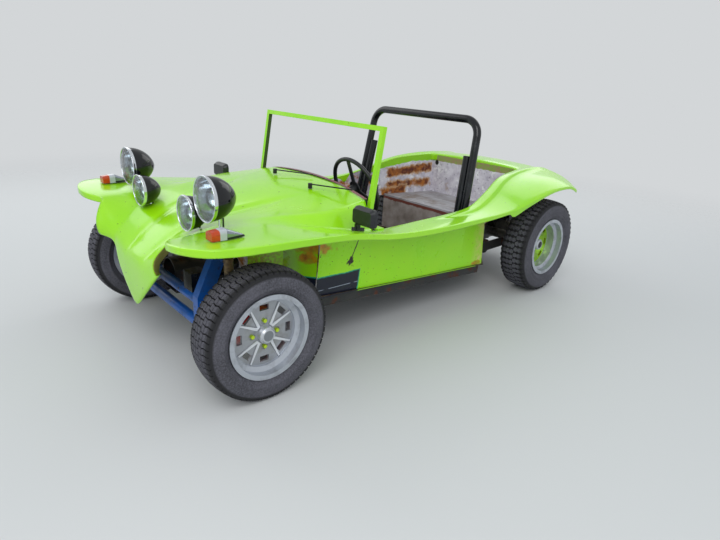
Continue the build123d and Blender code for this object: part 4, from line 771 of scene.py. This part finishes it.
body_shell = mesh_object("body_shell", shell, gelcoat, rough_laminate)
mirrored = body_shell.modifiers.new("both_sides", "MIRROR")
mirrored.use_clip = True
mirrored.merge_threshold = 0.0005
fair = body_shell.modifiers.new("faired", "SUBSURF")
fair.levels = fair.render_levels = 2
laminate = body_shell.modifiers.new("laminate", "SOLIDIFY")
laminate.thickness = LAMINATE * MM
laminate.offset = -1
laminate.material_offset = 1
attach(body_shell, "body")
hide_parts("bonnet", "nose", "front_wing_left", "front_wing_right",
            "side_deck_left", "side_deck_right", "rear_wing_left", "rear_wing_right",
            "rear_deck")


# Side panels and footwell: flat laminate bonded under the shell. Outside they carry the lime
# paint with rusty stains, a crack from the wing down and a navy patch over a repair. Inside
# they are brushed pale lilac.
# Brushed paint on laminate: less even and less glossy than the gelcoat, and chipped by stones
SANDY_TO_Y = -1.03          # sand sticks to the panel ahead of this
PALE_FROM_Y = 0.455         # and the paint has gone pale behind this
panel_paint = new_material("brushed_panel_paint")
x, y, z = place_on(panel_paint)
mottled = patches(panel_paint, 190, 0.35, 0.70)
outside = blend(panel_paint, mottled, "#9AEC00", "#A6EE12")
sandy = both(panel_paint, patches(panel_paint, 14, 0.40, 0.58),
             below(panel_paint, y, SANDY_TO_Y, 0.05))
outside = blend(panel_paint, sandy, outside, "#A3A636")
pale_end = both(panel_paint, patches(panel_paint, 40, 0.30, 0.60, at=(2, 2, 8)),
                above(panel_paint, y, PALE_FROM_Y, 0.05, 0.03))
outside = blend(panel_paint, pale_end, outside, "#D2E07A")
stone_chips = patches(panel_paint, 15, 0.68, 0.71, detail=3)
outside = blend(panel_paint, stone_chips, outside, "#2F3A14")


def spot(material, middle, reach, ragged, grain=35):
    """A mask round a place: its middle and reach in metres, with a ragged edge."""
    place = add_node(material, "TexCoord", {}).outputs["Object"]
    off = add_node(material, "VectorMath", {0: place, 1: middle}, operation="SUBTRACT").outputs[0]
    off = add_node(material, "VectorMath", {0: off, 1: reach}, operation="DIVIDE").outputs[0]
    far = add_node(material, "VectorMath", {0: off}, operation="LENGTH").outputs["Value"]
    return below(material, far, 1, 0.12, ragged, grain)


# Stains on the left side: middle and reach
STAINS = [
    ((0.62, -0.946, 0.628), (0.3, 0.074, 0.036)),
    ((0.62, -0.950, 0.560), (0.3, 0.024, 0.026)),
    ((0.62, 0.480, 0.275), (0.3, 0.040, 0.012)),
]
CRACK_SLOPE = 0.333         # the crack runs rearward by this share of its height
CRACK_FOOT = (0.62, -0.708, 0.522)
CRACK_HALF = 0.004
NAVY_TOP_Z = 0.452
SCRATCH_Z = (0.3795, 0.3835)        # a scratch runs through the navy between these heights
rust_tone = blend(panel_paint, patches(panel_paint, 30, 0.30, 0.70), "#E0901A", "#8A4812")
for middle, reach in STAINS:
    halo = spot(panel_paint, middle, [1.25 * r for r in reach], 0.9, 50)
    outside = blend(panel_paint, halo, outside, "#B0C01C")
    core = both(panel_paint, spot(panel_paint, middle, reach, 0.8, 60),
                patches(panel_paint, 50, 0.30, 0.60, at=(7, 3, 1)))
    outside = blend(panel_paint, core, outside, rust_tone)
lean = add_node(panel_paint, "Math", {0: z, 1: -CRACK_SLOPE, 2: y},
                operation="MULTIPLY_ADD").outputs[0]
crack_line = CRACK_FOOT[1] - CRACK_SLOPE * CRACK_FOOT[2]
on_left = above(panel_paint, x, 0)
crack = both(panel_paint, on_left, above(panel_paint, z, CRACK_FOOT[2]),
             above(panel_paint, lean, crack_line - CRACK_HALF, 0.001, 0.003, 12),
             below(panel_paint, lean, crack_line + CRACK_HALF, 0.001, 0.003, 12))
chipped_foot = spot(panel_paint, CRACK_FOOT, (0.3, 0.020, 0.022), 1.2, 14)
crack = either(panel_paint, crack, chipped_foot)
outside = blend(panel_paint, crack, outside, "#2A1D12")
# The navy patch: a teal edge shows where the blue ran thin
for tone, grow in (("#149A78", 0.007), (NAVY, 0)):
    patch = both(panel_paint, on_left,
                 below(panel_paint, y, NAVY_REAR_Y + grow, 0.001, 0.005, 25),
                 below(panel_paint, z, NAVY_TOP_Z + grow, 0.001, 0.006, 60))
    outside = blend(panel_paint, patch, outside, tone)
scratch = both(panel_paint, patch, above(panel_paint, z, SCRATCH_Z[0], 0.0006),
               below(panel_paint, z, SCRATCH_Z[1], 0.0006),
               patches(panel_paint, 60, 0.40, 0.50))
outside = blend(panel_paint, scratch, outside, "#9BA6B4")

# Lilac brushed over laminate: chalky, with mould, rust stains and bare resin coming through
LILAC = ("#E4E0E8", "#BDB7C4", "#F6F5F8")


def lilac_paint(material):
    """Lilac in two tones, with paler strokes and specks of mould."""
    tone = blend(material, patches(material, 70, 0.40, 0.66), LILAC[0], LILAC[1])
    tone = blend(material, patches(material, 45, 0.55, 0.66, at=(9, 2, 4)), tone, LILAC[2])
    return blend(material, patches(material, 14, 0.66, 0.69, detail=3), tone, "#4B4552")


inside = lilac_paint(panel_paint)
inside = blend(panel_paint, patches(panel_paint, 120, 0.52, 0.60), inside, rust_tone)
add_node(panel_paint, "", {
    "Base Color": blend(panel_paint, facing_out(panel_paint), inside, outside),
    "Roughness": value_between(panel_paint, mottled, 0.24, 0.4), "IOR": 1.5,
    "Normal": grained(panel_paint, 12, 0.5, 0.3)})
for name in ("side_panel_left", "side_panel_right", "footwell"):
    dress(name, panel_paint)


# Cockpit rear and shelf: laminate walls round the space at the back, with a plank laid across
# on a riser. The paint is pale lilac, and rusty bands have soaked through the side walls.
wall_paint = new_material("brushed_lilac_laminate")
_, y, z = place_on(wall_paint)
wall = lilac_paint(wall_paint)
# Bands on the side walls: front end, rear end, height at the front, rise per metre, half height
BANDS = [
    (0.665, 1.105, 0.706, 0.088, 0.030),
    (0.680, 1.095, 0.608, 0.020, 0.024),
    (0.630, 0.840, 0.520, 0.160, 0.045),
]
across = add_node(wall_paint, "Math", {0: place_on(wall_paint, True)[0]},
                  operation="ABSOLUTE").outputs[0]
side_wall = above(wall_paint, across, 0.6, 0.1)
soaked = blend(wall_paint, patches(wall_paint, 55, 0.40, 0.60), "#B8702A", "#5E2A1C")
for front, rear, height, rise, half in BANDS:
    level = add_node(wall_paint, "Math", {0: y, 1: -rise, 2: z},
                     operation="MULTIPLY_ADD").outputs[0]
    middle = height - rise * front
    for grow, tone in ((0.012, "#C9A27A"), (0, soaked)):
        band = both(wall_paint, side_wall,
                    above(wall_paint, level, middle - half - grow, 0.007, 0.022, 38),
                    below(wall_paint, level, middle + half + grow, 0.007, 0.022, 38),
                    above(wall_paint, y, front - grow, 0.010, 0.04, 60),
                    below(wall_paint, y, rear + grow, 0.006, 0.02),
                    patches(wall_paint, 90, 0.25, 0.45, at=(3, 8, 2)))
        wall = blend(wall_paint, band, wall, tone)
wall = blend(wall_paint, patches(wall_paint, 150, 0.60, 0.72, at=(6, 6, 6)), wall, "#A98E78")
# The lime runs over the coaming and a little way down the inside, to a sloping line
LIME_LINE = ((0.591, 0.742), (0.90, 0.800))
HOLE = (-0.379, 1.131, 0.786)       # a hole in the right half of the rear wall, drawn in black
HOLE_REACH = (0.019, 0.1, 0.022)
limed = above(wall_paint, over_line(wall_paint, *LIME_LINE), 0, 0.002, 0.008)
bare = blend(wall_paint, patches(wall_paint, 30, 0.40, 0.62), "#86A843", "#A08C66")
turned_edge = blend(wall_paint, side_wall, bare, "#93D81A")
wall = blend(wall_paint, limed, wall, turned_edge)
# Painted shade: the hole is not cut, and the dark inside of it is drawn as a black spot on the
# wall
painted_hole_shade = spot(wall_paint, HOLE, HOLE_REACH, 0.1)
add_node(wall_paint, "", {
    "Base Color": blend(wall_paint, painted_hole_shade, wall, "#07080A"),
    "Roughness": 0.62,
    "Normal": grained(wall_paint, 10, 1.0, 0.6)})
dress("cockpit_rear", wall_paint)

# Sawn plank: grey from the weather, with grain lines along its length, which runs across the
# car. The grain is drawn three times as coarse as it is, so that it shows.
PLANK_Z = 0.5185            # underside of the plank, where the riser ends
STAIN_Z = 0.495             # the riser is stained from here up
grey_plank = new_material("sawn_weathered_plank")
grain = patches(grey_plank, 16, 0.35, 0.65, stretch=(0.06, 1, 1))
wood = blend(grey_plank, grain, "#BAB7BC", "#8E8A8C")
wood = blend(grey_plank, patches(grey_plank, 120, 0.50, 0.75), wood, "#7C6C60")
height = place_on(grey_plank)[2]
riser = below(grey_plank, height, PLANK_Z)
stained = blend(grey_plank, patches(grey_plank, 90, 0.35, 0.7), "#A39A94", "#746960")
stained = blend(grey_plank, above(grey_plank, height, STAIN_Z, 0.002, 0.008), stained, "#6E3A2E")
add_node(grey_plank, "", {
    "Base Color": blend(grey_plank, riser, wood, stained), "Roughness": 0.8,
    "Normal": relief(grey_plank, grain, 0.8, 0.6)})
dress("rear_shelf", grey_plank)


# Dashboard: a black board behind the bonnet's rear edge. Its top still carries the pink-brown
# sealing strip on which the windscreen's glass sat.
# Grained black board: matt and even; the old sealer is rubbery and a little shinier
board_black = new_material("grained_black_board")
seal = above(board_black, place_on(board_black, True)[2], 0.6, 0.1)
board = blend(board_black, patches(board_black, 70, 0.4, 0.7), "#17181A", "#2C2B2B")
sealer = blend(board_black, patches(board_black, 22, 0.4, 0.6), "#8E5058", "#6A4A44")
add_node(board_black, "", {
    "Base Color": blend(board_black, seal, board, sealer),
    "Roughness": value_between(board_black, seal, 0.6, 0.45),
    "Normal": grained(board_black, 2, 0.2, 0.5)})
dress("dashboard", board_black)


# Windscreen frame: welded square steel tube, bolted to the cowl, painted lime over primer. The
# rubber channel of the missing glass is still in its inner faces.
# Brushed enamel on steel: glossy, with small rust blooms
TOP_RAIL_Z = 1.0            # only the top rail is above this
frame_enamel = new_material("brushed_lime_enamel")
x, _, z = place_on(frame_enamel)
tone = blend(frame_enamel, patches(frame_enamel, 160, 0.35, 0.7), "#98E208", "#A9E830")
tone = blend(frame_enamel, patches(frame_enamel, 22, 0.68, 0.72), tone, "#6B3A1A")
inward = add_node(frame_enamel, "Math", {0: x, 1: place_on(frame_enamel, True)[0]},
                  operation="MULTIPLY").outputs[0]
under_rail = both(frame_enamel, below(frame_enamel, place_on(frame_enamel, True)[2], -0.5, 0.1),
                  above(frame_enamel, z, TOP_RAIL_Z))
channel = either(frame_enamel, under_rail, below(frame_enamel, inward, -0.3, 0.1))
add_node(frame_enamel, "", {
    "Base Color": blend(frame_enamel, channel, tone, "#3B5516"),
    "Roughness": value_between(frame_enamel, channel, 0.24, 0.6), "IOR": 1.5,
    "Normal": grained(frame_enamel, 9, 0.2, 0.2)})
dress("windscreen_frame", frame_enamel)


# Roll bar and steering column: drawn steel tube, the bar bent to a hoop with a second tube
# welded along each leg, inboard of it. Both were dipped in black enamel.
# Gloss black enamel: deep black with a clear reflection, dulled by dust in patches
gloss_black = new_material("gloss_black_enamel")
dull = patches(gloss_black, 90, 0.5, 0.8)
add_node(gloss_black, "", {
    "Base Color": blend(gloss_black, dull, "#0B0E13", "#20252C"),
    "Roughness": value_between(gloss_black, dull, 0.18, 0.4), "IOR": 1.5,
    "Normal": grained(gloss_black, 6, 0.1, 0.2)})
for name in ("roll_bar", "steering_column"):
    dress(name, gloss_black)


# Wipers and steering wheel: two wiper arms that lie across the bonnet, and a spoked wheel, of
# moulded black plastic on steel cores.
# Moulded black plastic: dark grey at a glance, with a broad weak highlight
black_plastic = new_material("moulded_black_plastic")
add_node(black_plastic, "", {
    "Base Color": blend(black_plastic, patches(black_plastic, 60, 0.4, 0.7), "#121416", "#26282B"),
    "Roughness": 0.42,
    "Normal": grained(black_plastic, 1.5, 0.1, 0.5)})
for name in ("wipers", "steering_wheel"):
    dress(name, black_plastic)


# Mirrors: a head of moulded black plastic on each side of the body, near the windscreen's foot,
# with silvered glass facing the driver.
# Silvered glass: a clear mirror, a little dusty
MIRROR_GLASS_Y = -0.721
MIRROR_FOOT_Z = 0.745       # the glass is above this
mirror_head = new_material("moulded_plastic_and_silvered_glass")
_, y, z = place_on(mirror_head)
silvered = both(mirror_head, above(mirror_head, place_on(mirror_head, True)[1], 0.9, 0.05),
                above(mirror_head, y, MIRROR_GLASS_Y - 0.003),
                above(mirror_head, z, MIRROR_FOOT_Z))
head = blend(mirror_head, patches(mirror_head, 60, 0.4, 0.7), "#121417", "#24272C")
add_node(mirror_head, "", {
    "Base Color": blend(mirror_head, silvered, head, "#D5DCE2"),
    "Metallic": silvered,
    "Roughness": value_between(mirror_head, silvered, 0.40, 0.05),
    "Normal": grained(mirror_head, 2, 0.05, 0.3)})
dress("mirrors", mirror_head)


# Lamps: deep pressed bowls, black enamel outside, with a plated rim ring, a silvered reflector
# inside and a fluted glass. Two headlamps stand on the wings and two fog lamps inboard.
# Black enamel and chrome plate: both clear mirrors, the one dark and the other bright
LAMP_PARTS_X = 0.371        # fog lamps are inboard of this
HEADLAMP_RING_Y = -1.437    # the plated rings are ahead of these places
FOG_LAMP_RING_Y = -1.4505
bowl_finish = new_material("black_enamel_and_chrome_plate")
x, y, _ = place_on(bowl_finish)
outboard = above(bowl_finish, add_node(bowl_finish, "Math", {0: x},
                                       operation="ABSOLUTE").outputs[0], LAMP_PARTS_X)
ring = either(bowl_finish, both(bowl_finish, outboard, below(bowl_finish, y, HEADLAMP_RING_Y)),
              below(bowl_finish, y, FOG_LAMP_RING_Y))
plated = either(bowl_finish, ring,
                below(bowl_finish, place_on(bowl_finish, True)[1], -0.12, 0.05))
ripples = patches(bowl_finish, 12, 0.45, 0.6)
add_node(bowl_finish, "", {
    "Base Color": blend(bowl_finish, plated, "#080B10", "#DDE1E6"), "Metallic": plated,
    "Roughness": value_between(bowl_finish, plated, 0.12, 0.10), "IOR": 1.5,
    "Normal": relief(bowl_finish, ripples, 0.03, 0.2)})
dress("lamp_bowls", bowl_finish)

# Pressed glass: clear with upright flutes that break up the reflector behind. The flutes are
# drawn 9 mm apart, twice the real spacing, so that they show.
FLUTE = 9
WAVE_UNIT = 0.314           # a wave texture of scale 1 has its bands this far apart, in metres
lamp_glass = new_material("pressed_lamp_glass")
place = add_node(lamp_glass, "TexCoord", {}).outputs["Object"]
flutes = add_node(lamp_glass, "TexWave", {"Vector": place,
                                          "Scale": WAVE_UNIT / (FLUTE * MM)}).outputs[1]
add_node(lamp_glass, "", {
    "Base Color": linear("#E9F2F6"), "Roughness": 0.04, "IOR": 1.5, "Transmission Weight": 1.0,
    "Normal": relief(lamp_glass, flutes, 0.5, 0.35)})
dress("lamp_glasses", lamp_glass)


# Turn signals: a moulded lens, orange ahead and clear behind, in a tapered plated housing with
# a black base.
# Moulded acrylic: coloured through, with a sharp highlight; ribs inside show as fine lines
CLEAR_FROM_Y = -1.5
BLACK_BASE_Z = 0.788
signal_lens = new_material("moulded_acrylic_lens")
clear_part = above(signal_lens, place_on(signal_lens)[1], CLEAR_FROM_Y)
ribs = patches(signal_lens, 7, 0.3, 0.7, stretch=(0.2, 0.2, 1))
amber = blend(signal_lens, ribs, "#E0521C", "#C2401A")
add_node(signal_lens, "", {
    "Base Color": blend(signal_lens, clear_part, amber, "#C9CED6"), "Roughness": 0.14,
    "IOR": 1.49, "Transmission Weight": 0.2,
    "Normal": relief(signal_lens, ribs, 0.3, 0.4)})
dress("signal_lenses", signal_lens)

# Chrome plate: a bright mirror gone hazy in patches
signal_plate = new_material("chrome_plated_housing")
base = below(signal_plate, place_on(signal_plate)[2], BLACK_BASE_Z)
hazy = patches(signal_plate, 20, 0.4, 0.7)
add_node(signal_plate, "", {
    "Base Color": blend(signal_plate, base, "#9AA1AA", "#15171A"),
    "Metallic": value_between(signal_plate, base, 0.9, 0),
    "Roughness": value_between(signal_plate, hazy, 0.14, 0.35)})
dress("signal_housings", signal_plate)


# Studio: a pale floor that fades into a plain pale backdrop, and three large soft lamps.
BACKDROP = "#D3D6D8"
FLOOR_R = 14
FADE = (2.8, 7.5)           # the floor fades into the backdrop between these distances
pale_floor = new_material("pale_studio_floor")
place = add_node(pale_floor, "TexCoord", {}).outputs["Object"]
far = add_node(pale_floor, "VectorMath", {0: place}, operation="LENGTH").outputs["Value"]
fade = add_node(pale_floor, "MapRange", {"Value": far, "From Min": FADE[0],
                                         "From Max": FADE[1]},
                interpolation_type="SMOOTHSTEP").outputs[0]
painted = add_node(pale_floor, "", {"Base Color": linear("#D4D5D4"), "Roughness": 0.9})
gone = add_node(pale_floor, "BsdfTransparent", {})
mixed = add_node(pale_floor, "MixShader", {0: fade, 1: painted.outputs[0],
                                           2: gone.outputs[0]})
pale_floor.node_tree.links.new(mixed.outputs[0],
                               pale_floor.node_tree.nodes["Material Output"].inputs[0])
floor_mesh = bmesh.new()
rim = [floor_mesh.verts.new((FLOOR_R * cos(pi * k / 32), FLOOR_R * sin(pi * k / 32), 0))
       for k in range(64)]
floor_mesh.faces.new(rim)
mesh_object("studio_floor", floor_mesh, pale_floor)

world = bpy.data.worlds.new("studio_world")
world.use_nodes = True
seen = add_node(world, "LightPath", {}).outputs
shown = either(world, seen["Is Camera Ray"], seen["Is Glossy Ray"], seen["Is Transmission Ray"])
light = add_node(world, "Background", {0: linear("#DDE4EA"), 1: 0.82})
backdrop = add_node(world, "Background", {0: linear(BACKDROP), 1: 1})
mixed = add_node(world, "MixShader", {0: shown, 1: light.outputs[0], 2: backdrop.outputs[0]})
world.node_tree.links.new(mixed.outputs[0], world.node_tree.nodes["World Output"].inputs[0])
bpy.context.scene.world = world
for name, place, size, power in (("key", (3.6, -4.0, 4.6), 4.0, 150),
                                 ("fill", (-4.5, -1.5, 3.5), 4.0, 60),
                                 ("back", (-1.0, 5.0, 4.0), 4.0, 60)):
    lamp = bpy.data.lights.new("soft_" + name, "AREA")
    lamp.size = size
    lamp.energy = power
    holder = bpy.data.objects.new("soft_" + name, lamp)
    holder.location = place
    holder.rotation_euler = (-Vector(place)).to_track_quat("-Z", "Y").to_euler()
    bpy.context.scene.collection.objects.link(holder)

# Camera: where the photograph was taken from, at shoulder height and tilted a little
CAMERA_AT = Vector((2.617, -2.476, 1.441))
YAW, PITCH, ROLL = (radians(a) for a in (-47.298, -20.019, 3.328))
LENS = 26.37                # mm on a 36 mm wide frame
ahead = Vector((sin(YAW) * cos(PITCH), cos(YAW) * cos(PITCH), sin(PITCH)))
right = ahead.cross(Vector((0, 0, 1))).normalized()
up = right.cross(ahead)
right, up = cos(ROLL) * right + sin(ROLL) * up, -sin(ROLL) * right + cos(ROLL) * up
camera_data = bpy.data.cameras.new("camera")
camera_data.lens = LENS
camera_data.sensor_width = 36
camera = bpy.data.objects.new("camera", camera_data)
turned = Matrix((right, up, -ahead)).transposed().to_4x4()
camera.matrix_world = Matrix.Translation(CAMERA_AT) @ turned
bpy.context.scene.collection.objects.link(camera)
bpy.context.scene.camera = camera
bpy.context.scene.view_settings.view_transform = "Standard"
